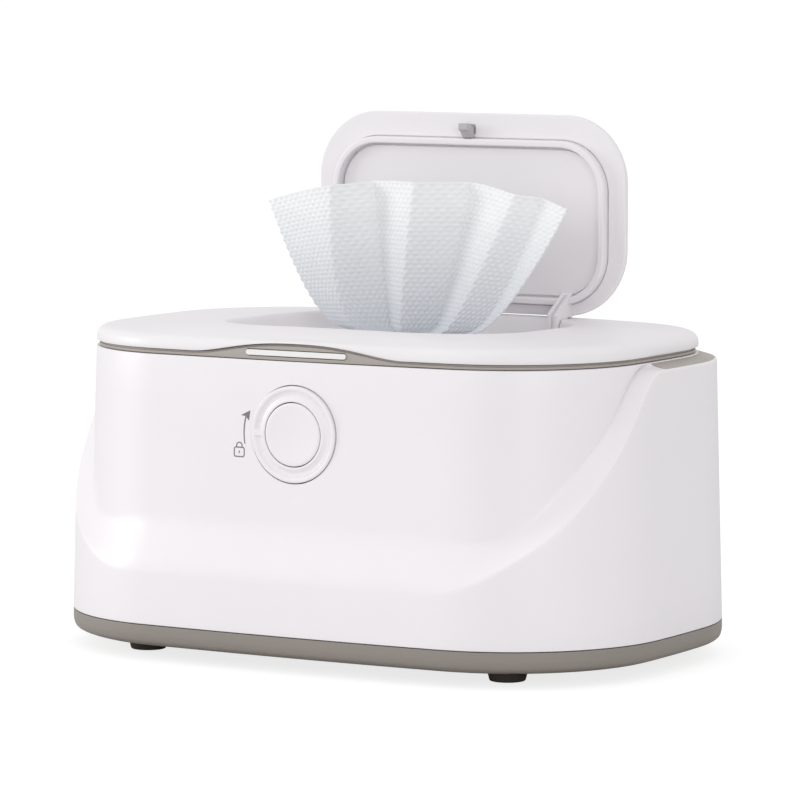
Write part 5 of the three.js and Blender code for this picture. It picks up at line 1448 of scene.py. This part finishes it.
@dataclass
class MainLid(SubAssembly):
    """The refill lid with its dish, orifice, gasket, catch and hinge features."""

    body: str = "lid"
    crease: float = 38
    edge_inset: float = 5.4
    edge_height: float = 5.4
    edge_steps: int = 10
    edge_turn: float = 79
    edge_power: float = 2 / 2.4
    crown: float = 119.4
    crown_bow: float = 0.76
    crown_slope: float = 0.015
    crown_steps: int = 13
    crown_power: float = 1.7
    dish_half_width: float = 60.0
    dish_half_depth: float = 49.0
    dish_corner: float = 37.5
    dish_centre_y: float = 3.0
    dish_wall: float = 2.6
    dish_floor: float = 107.4
    underside: float = 105.1
    orifice_half: tuple = (27.0, 15.0)
    orifice_round: float = 0.98
    orifice_y: float = 13.0
    insert_inset: float = 2.1
    slot: tuple = (12.6, 1.8, 1.76, 15.0)
    gasket_rib: tuple = ((18, 110.4), (18, 115.9), (19.6, 115.9), (19.6, 110.4))
    tongue_seat: tuple = ((-8, -61.9, 112.1), (8, -60.4, 116.1))
    lug_half: float = 4.6
    lug_block: tuple = ((67.7, 112.1), (72.7, 115.0))
    arm_blocks: tuple = (((35.5, 105.2), (52.0, 107.3)), ((48.5, 105.2), (55.4, 117.2)))
    arm_pockets: tuple = (((39.65, 107.5), (53.2, 121)), ((51.0, 118.0), (56.0, 121)))
    ear_width: float = 2.8
    ear_outline: tuple = (
        (52.6, 105.4), (45.4, 105.4), (45.4, 115.0), (46.6, 116.8), (48.2, 117.2), (52.6, 117.2),
    )
    bore_reach: tuple = (38.6, 47.0)
    catch_outline: tuple = (
        (-30.0, 107.7), (-28.0, 107.7), (-28.0, 112.0), (-27.5, 112.6), (-28.0, 116.4), (-29.3, 116.4),
        (-30.0, 112.0),
    )
    catch_half: float = 5
    catch_foot: tuple = ((-31.7, 107.7), (-24.6, 109.1))

    def crown_z(self, x: float, y: float) -> float:
        """Height of the crown near the dish."""
        return self.crown - self.crown_bow * (x / self.dish_half_width) ** 2 - self.crown_slope * y

    def orifice(self, inset: float, counts: StationCounts = COUNTS) -> list[Station]:
        """The outline of the orifice, or one this far inside it."""
        half_x, half_y = self.orifice_half[0] - inset, self.orifice_half[1] - inset
        return rounded_outline(half_x, half_y, half_y * self.orifice_round, self.orifice_y, counts)

    def section(self, s: Station, d: Station, h: Station) -> list[Vector]:
        """Section of the lid from its edge over the crown into the dish and back underneath.

        Args:
            s: station on the lid's outline.
            d: station on the dish's outline.
            h: station on the orifice's outline.

        Returns:
            The points of the section.
        """
        bottom, top = FORM.lid_bottom + FORM.crest(s.x, s.y), FORM.lid_bottom + self.edge_height
        tall, inset = top - bottom, FORM.lid_inset
        knots = corners_at(s, (inset + 0.15, bottom, 0.2), (inset, bottom + tall * 0.08))
        for i in range(self.edge_steps + 1):
            angle = math.radians(lerp(0, self.edge_turn, i / self.edge_steps))
            across = 1 - math.cos(angle) ** self.edge_power
            up = math.sin(angle) ** self.edge_power
            knots += corners_at(s, (inset + self.edge_inset * across, lerp(bottom + tall * 0.2, top, up)))
        edge = knots[-1].at
        rim = d.at(-self.dish_wall, 0)
        rim.z = self.crown_z(rim.x, rim.y)
        for i in range(1, self.crown_steps):
            share = i / self.crown_steps
            place = edge.lerp(rim, share)
            place.z = lerp(edge.z, rim.z, 1 - (1 - share) ** self.crown_power)
            knots.append(Knot(place))
        knots.append(Knot(rim))
        wall_top = self.crown_z(d.x, d.y)
        knots += corners_at(d, (0, wall_top, 2.4), (3.8, self.dish_floor, 6.0))
        knots += corners_at(h, (0, self.dish_floor, 0.35), (0, self.underside, 0.2))
        knots += corners_at(d, (5.0, self.underside, 4.0), (-self.dish_wall, wall_top - self.dish_wall, 3.0))
        knots += corners_at(
            s, (inset + 5.4, max(top - 2.6, bottom + 0.2)), (inset + 3.2, max(top - 3.4, bottom + 0.15)),
            (inset + 2.2, bottom, 0.1),
        )
        return rounded_section(knots, 5)

    def fittings(self) -> list[bmesh.types.BMesh]:
        """The gasket's rib, the tongue's seat, the rear lugs and the blocks round the flip lid's arms.

        Returns:
            Their meshes, in the order of their use.
        """
        made = [
            skin([[s.at(*place) for place in self.gasket_rib] for s in FORM.outline()], True),
            brick(*self.tongue_seat),
        ]
        near, far = FLIP_HINGE.x - FORM.arm_half - 2.5, FLIP_HINGE.x + FORM.arm_half + 5.3
        for side in SIDES:
            x0, x1 = side * REAR_HINGE.x - self.lug_half, side * REAR_HINGE.x + self.lug_half
            made += [REAR_HINGE.knuckle(x0, x1), block(x0, x1, self.lug_block)]
            made += [block(*on_side(side, near, far), limits) for limits in self.arm_blocks]
        return made

    def pockets(self) -> list[bmesh.types.BMesh]:
        """Tools for the rear pins' bore and the pockets in which the flip lid's arms turn.

        Returns:
            The tools, in the order of their use.
        """
        half = FORM.arm_half + FORM.arm_play
        made = [REAR_HINGE.bored(-60, 60)]
        for side in SIDES:
            x = side * FLIP_HINGE.x
            made += [block(x - half, x + half, limits) for limits in self.arm_pockets]
        return made

    def ear(self, side: int) -> bmesh.types.BMesh:
        """An ear beside an arm, which holds the pin.

        Args:
            side: -1 for the left ear, 1 for the right.

        Returns:
            Its mesh, in millimetres.
        """
        near = FLIP_HINGE.x + FORM.arm_half + FORM.arm_play
        x0, x1 = on_side(side, near, near + self.ear_width)
        return slab_across(x0, x1 - x0, self.ear_outline)

    def build_lid(self) -> None:
        """The lid itself, with its fittings, pockets, ears and pin bores."""
        dish = rounded_outline(
            self.dish_half_width, self.dish_half_depth, self.dish_corner, self.dish_centre_y
        )
        sections = [self.section(s, d, h) for s, d, h in zip(FORM.outline(), dish, self.orifice(0))]
        lid = finish_mesh("lid_skin", skin(sections, True), self.crease)
        combined(lid, self.fittings(), Combine.ADD, self.crease)
        combined(lid, self.pockets(), Combine.CUT, self.crease)
        combined(lid, [self.ear(side) for side in SIDES], Combine.ADD, self.crease)
        bores = [FLIP_HINGE.bored(*on_side(side, *self.bore_reach)) for side in SIDES]
        combined(lid, bores, Combine.CUT, self.crease)
        self.add(lid, Finish.LID, "lid_white", ["main_lid"])

    def build_gasket(self) -> None:
        """The silicone gasket under the lid."""
        rows = (
            (18.0, 108.4, 0.5), (17.1, 109.2, 0.4), (17.1, 111.8, 0.2), (17.7, 111.8, 0.1),
            (17.7, 110.1, 0.1), (19.9, 110.1, 0.1), (19.9, 111.8, 0.1), (20.5, 111.8, 0.2),
            (20.5, 109.2, 0.4), (19.6, 108.4, 0.5),
        )
        sections = [rounded_section(corners_at(s, *rows), 2) for s in FORM.outline()]
        gasket = finish_mesh("gasket_skin", skin(sections, True))
        self.add(gasket, Finish.SILICONE, "silicone", ["lid_gasket"])

    def build_orifice(self) -> None:
        """The frame clipped in the dish and the soft insert with its slot."""
        counts = StationCounts(3, 16, 12)
        rows = (
            (0.3, 103.4, 0.2), (-0.9, 104.1, 0.2), (-0.9, 104.8, 0.2), (0.3, 104.8, 0.1), (0.3, 107.7, 0.1),
            (-4.0, 107.7, 0.2), (-4.0, 108.3, 0.3), (-2.8, 109.0, 0.6), (1.8, 109.0, 0.5), (1.8, 103.4, 0.2),
        )
        sections = [rounded_section(corners_at(s, *rows), 3) for s in self.orifice(0, counts)]
        ring = finish_mesh("orifice_ring", skin(sections, True))
        self.add(ring, Finish.LID, "lid_white", ["orifice_frame"])
        outer = (0, 106.25, 0.2), (0, 107.45, 0.3)
        inner = (-6.0, 107.45, 0.8), (-2.4, 108.15, 0.6), (0, 108.15, 0.5), (0, 106.25, 0.3)
        pairs = zip(self.orifice(self.insert_inset, counts), rounded_outline(*self.slot, counts))
        sections = [rounded_section(corners_at(o, *outer) + corners_at(i, *inner), 3) for o, i in pairs]
        insert = finish_mesh("orifice_membrane", skin(sections, True))
        self.add(insert, Finish.SILICONE, "silicone", ["orifice_insert"])

    def build_catch(self) -> None:
        """The post that the flip lid's hook snaps on."""
        half = self.catch_half
        post = finish_mesh("catch_post", slab_across(-half, 2 * half, self.catch_outline, 0.25))
        combined(post, [block(-half, half, self.catch_foot, 0.3)], Combine.ADD)
        self.add(even_shading(post), Finish.HOOK, "hook_grey", ["hook_catch"])

    def build(self) -> None:
        """Makes every piece of the lid."""
        self.build_lid()
        self.build_gasket()
        self.build_orifice()
        self.build_catch()
        self.dress(Finish.STEEL, "flip_hinge_pin_left", "flip_hinge_pin_right")
        self.dress(Finish.INNER, "latch_tongue")


@dataclass
class FlipLid(SubAssembly):
    """The flip lid over the dish, with its rib, arms and hook."""

    body: str = "flip"
    half_width: float = 65.3
    bottom: float = 118.9
    top: float = 193.0
    corner: float = 25.0
    inner_y: float = 55.0
    thickness: float = 3.0
    crown: float = 0.8
    rib_half: float = 58.0
    rib_bottom: float = 122.9
    rib_top: float = 183.6
    rib_corner: float = 19.0
    rib_width: float = 2.6
    rib_height: float = 3.3
    grooves: tuple = ((-0.4, 0.2, 0.7), (2.4, 3.5, 1.0))
    dome_steps: int = 6
    arm_front: float = 43.6
    arm_rear: float = 51.4
    channel_half: float = 0.7
    channel_outline: tuple = (
        (53.9, 129.7), (42.5, 122.0), (42.5, 114.6), (44.7, 114.6), (44.7, 119.6), (53.9, 125.6),
    )
    bore_reach: tuple = (38.0, 44.4)
    hook_window: tuple = ((-2.35, 54, 185.25), (2.35, 56.35, 188.75))
    hook_peg: tuple = ((-1.6, 54, 185.7), (1.6, 55.9, 188.0))
    hook_half: float = 1.9

    def standing(self, half_width: float, low: float, high: float, corner: float) -> list[Station]:
        """An outline in the XZ plane, with its heights in place of Y."""
        middle, half_height = (high + low) / 2, (high - low) / 2
        return rounded_outline(half_width, half_height, corner, middle, StationCounts(8, 22, 18))

    def knots_at(self, s: Station, *rows: Sequence[float]) -> list[Knot]:
        """Corners of a standing outline's section, from rows of inset, depth and round."""
        return [Knot(Vector((s.x - s.nx * row[0], row[1], s.y - s.ny * row[0])), *row[2:]) for row in rows]

    def build_plate(self) -> bpy.types.Object:
        """The plate with its domed back, and on its inner face the rib between two grooves.

        Returns:
            The plate.
        """
        seat, back = self.inner_y, self.inner_y + self.thickness
        face, wide = seat - self.rib_height, self.rib_width
        sections = []
        for s in self.standing(self.half_width, self.bottom, self.top, self.corner):
            knots = self.knots_at(s, (18.0, seat), (0.0, seat, 0.6), (0.0, back, 1.4))
            for i in range(1, self.dome_steps + 1):
                share = i / self.dome_steps
                rise = self.crown * (1 - (1 - share) ** 2)
                knots += self.knots_at(s, (2.2 + 18 * share, back + rise))
            sections.append(rounded_section(knots, 4))
        plate = finish_mesh("flip_plate", skin(sections, False))
        outline = self.standing(self.rib_half, self.rib_bottom, self.rib_top, self.rib_corner)
        grooves = []
        for near, far, depth in self.grooves:
            rows = (near, seat - 1), (near, seat + depth), (far, seat + depth), (far, seat - 1)
            grooves.append(skin([rounded_section(self.knots_at(s, *rows)) for s in outline], True))
        combined(plate, grooves, Combine.CUT)
        rows = (
            (0, seat + 1), (0, seat), (0.1, face, 0.7), (wide - 0.1, face, 0.7), (wide, seat),
            (wide, seat + 1),
        )
        rib = skin([rounded_section(self.knots_at(s, *rows), 4) for s in outline], True)
        return combined(plate, [rib], Combine.ADD)

    def arm(self, side: int) -> bmesh.types.BMesh:
        """One hinge arm, from the plate down to its foot round the pin.

        Args:
            side: -1 for the left arm, 1 for the right.

        Returns:
            Its mesh, in millimetres.
        """
        seat, front, rear, pin = self.inner_y, self.arm_front, self.arm_rear, FLIP_HINGE
        outline = (
            (seat + 1, 127.5), (seat, 127.5), (front, 120.2), (front, pin.z - 1), (front + 2.4, pin.z - 3),
            (pin.y + 0.5, pin.z - 3), (rear, pin.z - 0.5), (rear, 118.6), (seat - 0.3, 118.6),
            (seat, self.bottom), (seat + 1, self.bottom),
        )
        return slab_across(side * pin.x - FORM.arm_half, 2 * FORM.arm_half, outline, 0.35)

    def channel(self, side: int) -> bmesh.types.BMesh:
        """The tool for the channel down an arm's face."""
        half = self.channel_half
        return slab_across(side * FLIP_HINGE.x - half, 2 * half, self.channel_outline)

    def build_lid(self) -> None:
        """The lid with its arms, their channels and pin bores."""
        lid = self.build_plate()
        combined(lid, [self.arm(side) for side in SIDES], Combine.ADD)
        cuts = [self.channel(side) for side in SIDES]
        cuts += [FLIP_HINGE.bored(*on_side(side, *self.bore_reach)) for side in SIDES]
        cuts.append(brick(*self.hook_window))
        combined(lid, cuts, Combine.CUT)
        self.add(even_shading(lid), Finish.LID, "lid_white", ["flip_lid"])

    def build_hook(self) -> None:
        """The grey hook near the lid's free edge."""
        seat, face = self.inner_y - 0.15, self.inner_y - 6
        outline = (
            (seat, 183.3), (seat, 187.4), (face + 2.4, 189.3), (face + 0.3, 189.3), (face + 0.3, 186.9),
            (face + 1.7, 186.2), (face + 3.4, 183.9),
        )
        hook = finish_mesh("hook_nose", slab_across(-self.hook_half, 2 * self.hook_half, outline, 0.25))
        combined(hook, [brick(*self.hook_peg)], Combine.ADD)
        self.add(even_shading(hook), Finish.HOOK, "hook_grey", ["flip_hook"])

    def build(self) -> None:
        """Makes the flip lid and its hook."""
        self.build_lid()
        self.build_hook()


@dataclass
class Wipe(SubAssembly):
    """The wipe that stands in the dish, gathered in the slot and opened out above it."""

    body: str = "lid"
    columns: int = 250
    rows: int = 190
    middle_y: float = 15.0
    tail_z: float = 92.0
    slot_z: float = 108.6
    throat_z: float = 115.0
    slot_half: float = 11.5
    tail_half: float = 13.0
    throat: tuple = (-33.0, 26.5)
    corners: tuple = (-65.3, 66.7)
    edge_z: tuple = (160.5, 161.5)
    crown_z: float = 169.5
    thickness: float = 0.45
    fold_top: tuple = (0.0, 0.255, 0.325, 0.523, 0.633, 0.838, 0.895, 1.0)
    fold_bottom: tuple = (0.0, 0.15, 0.36, 0.47, 0.64, 0.77, 0.93, 1.0)
    fold_depth: tuple = (0.4, -1.0, 0.9, -1.0, 1.0, -0.8, -0.1, -0.9)
    top_depth: float = 8.0
    throat_depth: float = 3.0
    dimple_pitch: tuple = (3.5, 1.7)
    dimple_depth: float = 0.6
    dimple_field: tuple = (150.0, 54.0)
    slot_row: float = 0.1
    throat_row: float = 0.18
    gathers: int = 7
    gather_depth: float = 0.45
    ripple_scale: tuple = (0.045, 0.02)
    ripple_seed: float = 3.7
    ripple_depth: float = 1.1

    def fold(self, across: float, up: float) -> float:
        """Depth of the folds at a place.

        Args:
            across: share of the wipe's width, from the left.
            up: 0 at the throat, 1 at the top edge.

        Returns:
            Its share: -1 towards the front, 1 towards the rear.
        """
        lines = [lerp(b, t, up) for b, t in zip(self.fold_bottom, self.fold_top)]
        for i in range(len(lines) - 1):
            if across <= lines[i + 1] or i == len(lines) - 2:
                share = (across - lines[i]) / (lines[i + 1] - lines[i])
                return lerp(self.fold_depth[i], self.fold_depth[i + 1], lerp(share, smoothstep(share), 0.4))
        return 0.0

    def place(self, across: float, rise: float) -> Vector:
        """Point of the wipe's middle surface.

        Args:
            across: share of its width, from the left.
            rise: 0 at the tail's end, 1 at the slot, 2 at the throat and 3 at the top edge.

        Returns:
            The point, in millimetres.
        """
        side = 2 * across - 1
        gather = math.cos(math.pi * self.gathers * across)
        if rise <= 1:
            x = side * lerp(self.tail_half, self.slot_half, rise)
            z = lerp(self.tail_z, self.slot_z, rise)
            return Vector((x, self.middle_y + self.gather_depth * gather, z))
        if rise <= 2:
            share = rise - 1
            x = lerp(side * self.slot_half, lerp(*self.throat, across), share**1.2)
            depth = lerp(self.gather_depth, self.throat_depth, share)
            z = lerp(self.slot_z, self.throat_z, share)
            return Vector((x, self.middle_y + depth * lerp(gather, self.fold(across, 0), share), z))
        share = rise - 2
        edge = lerp(*self.edge_z, across)
        crown = edge + (self.crown_z - sum(self.edge_z) / 2) * (1 - abs(side) ** 2.2)
        x = lerp(lerp(*self.throat, across), lerp(*self.corners, across), share ** lerp(0.6, 0.7, across))
        z = lerp(self.throat_z, crown, share)
        depth = lerp(self.throat_depth, self.top_depth, share**0.8)
        y = self.middle_y + depth * self.fold(across, share)
        spot = Vector((x * self.ripple_scale[0], z * self.ripple_scale[1], self.ripple_seed))
        return Vector((x, y + noise.noise(spot) * self.ripple_depth * share, z))

    def rise(self, up: float) -> float:
        """Where a row lies on the wipe.

        Args:
            up: share of the rows, from the tail's end.

        Returns:
            1 at the slot, 2 at the throat and 3 at the top edge.
        """
        if up < self.slot_row:
            return up / self.slot_row
        if up < self.throat_row:
            return 1 + (up - self.slot_row) / (self.throat_row - self.slot_row)
        return 2 + (up - self.throat_row) / (1 - self.throat_row)

    def build(self) -> None:
        """Makes the sheet, embosses it and gives it its thickness."""
        bm = bmesh.new()
        bmesh.ops.create_grid(bm, x_segments=self.columns, y_segments=self.rows, size=0.5)
        flat = {}
        for vert in bm.verts:
            flat[vert] = (vert.co.x + 0.5, self.rise(vert.co.y + 0.5))
            vert.co = self.place(*flat[vert])
        bm.normal_update()
        emboss = {vert: vert.normal * self.dimple(*flat[vert]) for vert in bm.verts}
        for vert, push in emboss.items():
            vert.co += push
        bmesh.ops.solidify(bm, geom=list(bm.faces), thickness=self.thickness)
        wipe = finish_mesh("wipe_cloth", bm, 75)
        self.add(wipe, Finish.CLOTH, "wipe_cloth", ["wipe"])
        edge = [self.place(k / self.columns, 3) for k in range(self.columns + 1)]
        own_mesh(wipe)

    def dimple(self, across: float, rise: float) -> float:
        """Push of the embossed dimples along the surface's normal.

        Args:
            across: share of the wipe's width.
            rise: how far up it is, as in place.

        Returns:
            The push, in millimetres.
        """
        if rise < 1.6:
            return 0.0
        u = across * self.dimple_field[0] / self.dimple_pitch[0]
        v = (rise - 2) * self.dimple_field[1] / self.dimple_pitch[1]
        if math.floor(v) % 2:
            u += 0.5
        du, dv = (u - math.floor(u)) - 0.5, (v - math.floor(v)) - 0.5
        bulge = math.cos(math.pi * du) ** 2 * math.cos(math.pi * dv)
        return self.dimple_depth * bulge * smoothstep(rise, 1.6, 2.1)


@dataclass
class PanelPrint(SubAssembly):
    """The generic padlock and the turning arrow printed beside the ring."""

    arc_radius: float = 20.7
    arc_degrees: tuple = (-12, 15)
    arc_line: tuple = (0.42, 0.55)
    arc_steps: int = 24
    line: float = 0.44
    lift: float = 0.05
    lock_x: float = -22.6
    lock_z: float = 76.9
    lock_half: tuple = (2.1, 1.65, 0.7)
    hoop_radius: float = 1.15
    hoop_rise: float = 2.25
    hoop_foot: float = 1.65
    hoop_steps: int = 14
    key_half: float = 0.45
    arrow_head: tuple = ((-18.2, 91.9), (-22.1, 90.0), (-20.1, 89.7), (-18.7, 88.2))

    def band(
        self, points: Sequence[tuple[float, float]], width: Sequence[float], closed: bool
    ) -> bmesh.types.BMesh:
        """A printed line of changing width that lies on the front panel.

        Args:
            points: its places as x and z.
            width: its width at each place.
            closed: whether it joins its ends.

        Returns:
            Its mesh, in millimetres.
        """
        bm = bmesh.new()
        count = len(points)
        pairs = []
        for i, (x, z) in enumerate(points):
            ahead = points[(i + 1) % count] if closed or i < count - 1 else points[i]
            back = points[i - 1] if closed or i > 0 else points[i]
            way = Vector((ahead[0] - back[0], ahead[1] - back[1])).normalized()
            side = Vector((-way.y, way.x)) * width[i] / 2
            pair = []
            for sign in (1, -1):
                px, pz = x + side.x * sign, z + side.y * sign
                pair.append(bm.verts.new((px, FORM.panel_y(px, pz) - self.lift, pz)))
            pairs.append(pair)
        for i in range(count if closed else count - 1):
            a, b = pairs[i], pairs[(i + 1) % count]
            bm.faces.new((a[0], a[1], b[1], b[0]))
        return bm

    def patch(self, corners: Sequence[tuple[float, float]]) -> bmesh.types.BMesh:
        """A printed patch of two triangles on the front panel.

        Args:
            corners: its four corners as x and z, the tip first.

        Returns:
            Its mesh, in millimetres.
        """
        bm = bmesh.new()
        tip, near, notch, far = [bm.verts.new((x, FORM.panel_y(x, z) - self.lift, z)) for x, z in corners]
        bm.faces.new((tip, near, notch))
        bm.faces.new((tip, notch, far))
        return bm

    def build(self) -> None:
        """Makes the padlock and the arrow."""
        x, z, radius = self.lock_x, self.lock_z, self.arc_radius
        outline = rounded_outline(*self.lock_half, 0, StationCounts(1, 6, 1))
        hoop = [(x + self.hoop_radius, z + self.hoop_foot)]
        for k in range(self.hoop_steps + 1):
            angle = math.pi * k / self.hoop_steps
            rise = self.hoop_rise + self.hoop_radius * math.sin(angle)
            hoop.append((x + self.hoop_radius * math.cos(angle), z + rise))
        hoop.append((x - self.hoop_radius, z + self.hoop_foot))
        arc, widths = [], []
        for k in range(self.arc_steps + 1):
            angle = math.radians(lerp(*self.arc_degrees, k / self.arc_steps))
            arc.append((-radius * math.cos(angle), FORM.button_z + radius * math.sin(angle)))
            widths.append(lerp(*self.arc_line, k / self.arc_steps))
        parts = [
            self.band([(s.x + x, s.y + z) for s in outline], [self.line] * len(outline), True),
            self.band(hoop, [self.line] * len(hoop), False),
            self.band([(x, z + self.key_half), (x, z - self.key_half)], [self.line] * 2, False),
            self.band(arc, widths, False),
            self.patch(self.arrow_head),
        ]
        whole = bmesh.new()
        for part in parts:
            mesh = bpy.data.meshes.new("print part")
            part.to_mesh(mesh)
            part.free()
            whole.from_mesh(mesh)
            bpy.data.meshes.remove(mesh)
        bmesh.ops.solidify(whole, geom=list(whole.faces), thickness=0.03)
        self.add(finish_mesh("panel_print", whole), Finish.INK, "hook_grey")


# Studio -----------------------------------------------------------------------------------------------


@dataclass(frozen=True)
class Studio:
    """Camera, floor and lamps."""

    lens: float = 220.756
    place: tuple = (0.90176, -1.53289, 0.26776)
    azimuth_degrees: float = 30.412
    aim_right: float = 0.00173
    aim_height: float = 0.09042
    shadow_share: float = 0.3
    floor_light: float = 0.72
    world_light: float = 0.86
    lamp_aim: tuple = (0, 0, 0.09)
    lamps: tuple = (
        ("key", (-2.0, -0.95, 0.6), 0.8, 13.0),
        ("front", (-0.1, -2.3, 0.7), 0.8, 2.8),
        ("fill", (1.8, -1.6, 0.6), 1.0, 6.5),
        ("top", (-0.2, -0.3, 2.0), 0.8, 0.8),
    )

    def aimed(
        self, name: str, data: bpy.types.ID, place: Sequence[float], aim: Sequence[float]
    ) -> bpy.types.Object:
        """Sets a camera or a lamp in the scene.

        Args:
            name: its name.
            data: the camera or the lamp.
            place: where it stands, in metres.
            aim: the point that it looks at.

        Returns:
            Its object.
        """
        obj = bpy.data.objects.new(name, data)
        bpy.context.scene.collection.objects.link(obj)
        obj.location = place
        obj.rotation_mode = "QUATERNION"
        obj.rotation_quaternion = (Vector(aim) - Vector(place)).to_track_quat("-Z", "Y")
        return obj

    def build_camera(self) -> None:
        """The camera at the photograph's angle."""
        data = bpy.data.cameras.new("camera")
        data.lens = self.lens
        data.sensor_width = 36.0
        data.clip_start, data.clip_end = 0.05, 50.0
        azimuth = math.radians(self.azimuth_degrees)
        aside = Vector((math.cos(azimuth), math.sin(azimuth), 0)) * self.aim_right
        aim = aside + Vector((0, 0, self.aim_height))
        bpy.context.scene.camera = self.aimed("camera", data, self.place, aim)

    def build_floor(self) -> None:
        """The pale floor. The camera sees it as white paper that keeps a soft shadow."""
        bm = bmesh.new()
        bmesh.ops.create_circle(bm, cap_ends=True, segments=96, radius=20000)
        floor = finish_mesh("floor", bm)
        sheet = NodeSheet("pale floor")
        sheet.drive("Base Color", sheet.tinted(sheet.noise(3.0), (0.72, 0.72, 0.72), (0.74, 0.74, 0.74)))
        sheet.fix(Roughness=0.9, Specular_IOR_Level=0.1)
        shadowed = sheet.node("BsdfDiffuse", Color=(*[self.shadow_share] * 3, 1))
        glow = sheet.node("Emission", Strength=1 - self.shadow_share * self.floor_light)
        paper, seen, path = sheet.node("AddShader"), sheet.node("MixShader"), sheet.node("LightPath")
        sheet.link(shadowed.outputs["BSDF"], paper.inputs[0])
        sheet.link(glow.outputs["Emission"], paper.inputs[1])
        sheet.link(path.outputs["Is Camera Ray"], seen.inputs["Fac"])
        sheet.link(sheet.shader.outputs["BSDF"], seen.inputs[1])
        sheet.link(paper.outputs["Shader"], seen.inputs[2])
        sheet.link(seen.outputs["Shader"], sheet.output.inputs["Surface"])
        floor.data.materials.append(sheet.material)

    def build_lights(self) -> None:
        """Plain soft studio light: four square lamps and a world that is dimmer than the camera sees it."""
        world = bpy.data.worlds.new("studio")
        bpy.context.scene.world = world
        world.use_nodes = True
        tree = world.node_tree
        tree.nodes.clear()
        mix = tree.nodes.new("ShaderNodeMixShader")
        for slot, strength in ((1, self.world_light), (2, 1.0)):
            glow = tree.nodes.new("ShaderNodeBackground")
            glow.inputs["Color"].default_value = (1, 1, 1, 1)
            glow.inputs["Strength"].default_value = strength
            tree.links.new(glow.outputs["Background"], mix.inputs[slot])
        path = tree.nodes.new("ShaderNodeLightPath")
        out = tree.nodes.new("ShaderNodeOutputWorld")
        tree.links.new(path.outputs["Is Camera Ray"], mix.inputs["Fac"])
        tree.links.new(mix.outputs["Shader"], out.inputs["Surface"])
        for name, place, size, power in self.lamps:
            data = bpy.data.lights.new(name, "AREA")
            data.shape = "SQUARE"
            data.size = size
            data.energy = power
            self.aimed(name, data, place, self.lamp_aim)
        bpy.context.scene.view_settings.view_transform = "Standard"


def main() -> None:
    """Loads the frame, sets the camera, builds each sub-assembly, then the floor and the lights."""
    logging.basicConfig(level=logging.INFO, format="%(message)s")
    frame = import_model()
    shelf = FinishShelf()
    studio = Studio()
    studio.build_camera()
    for group in (
        Housing(frame, shelf),
        Tub(frame, shelf),
        PushButton(frame, shelf),
        LockRing(frame, shelf),
        MainLid(frame, shelf),
        FlipLid(frame, shelf),
        Wipe(frame, shelf),
        PanelPrint(frame, shelf),
    ):
        group.build()
        log.info("%s: %d pieces", type(group).__name__, len(group.pieces))
    studio.build_floor()
    studio.build_lights()


if __name__ == "__main__":
    main()
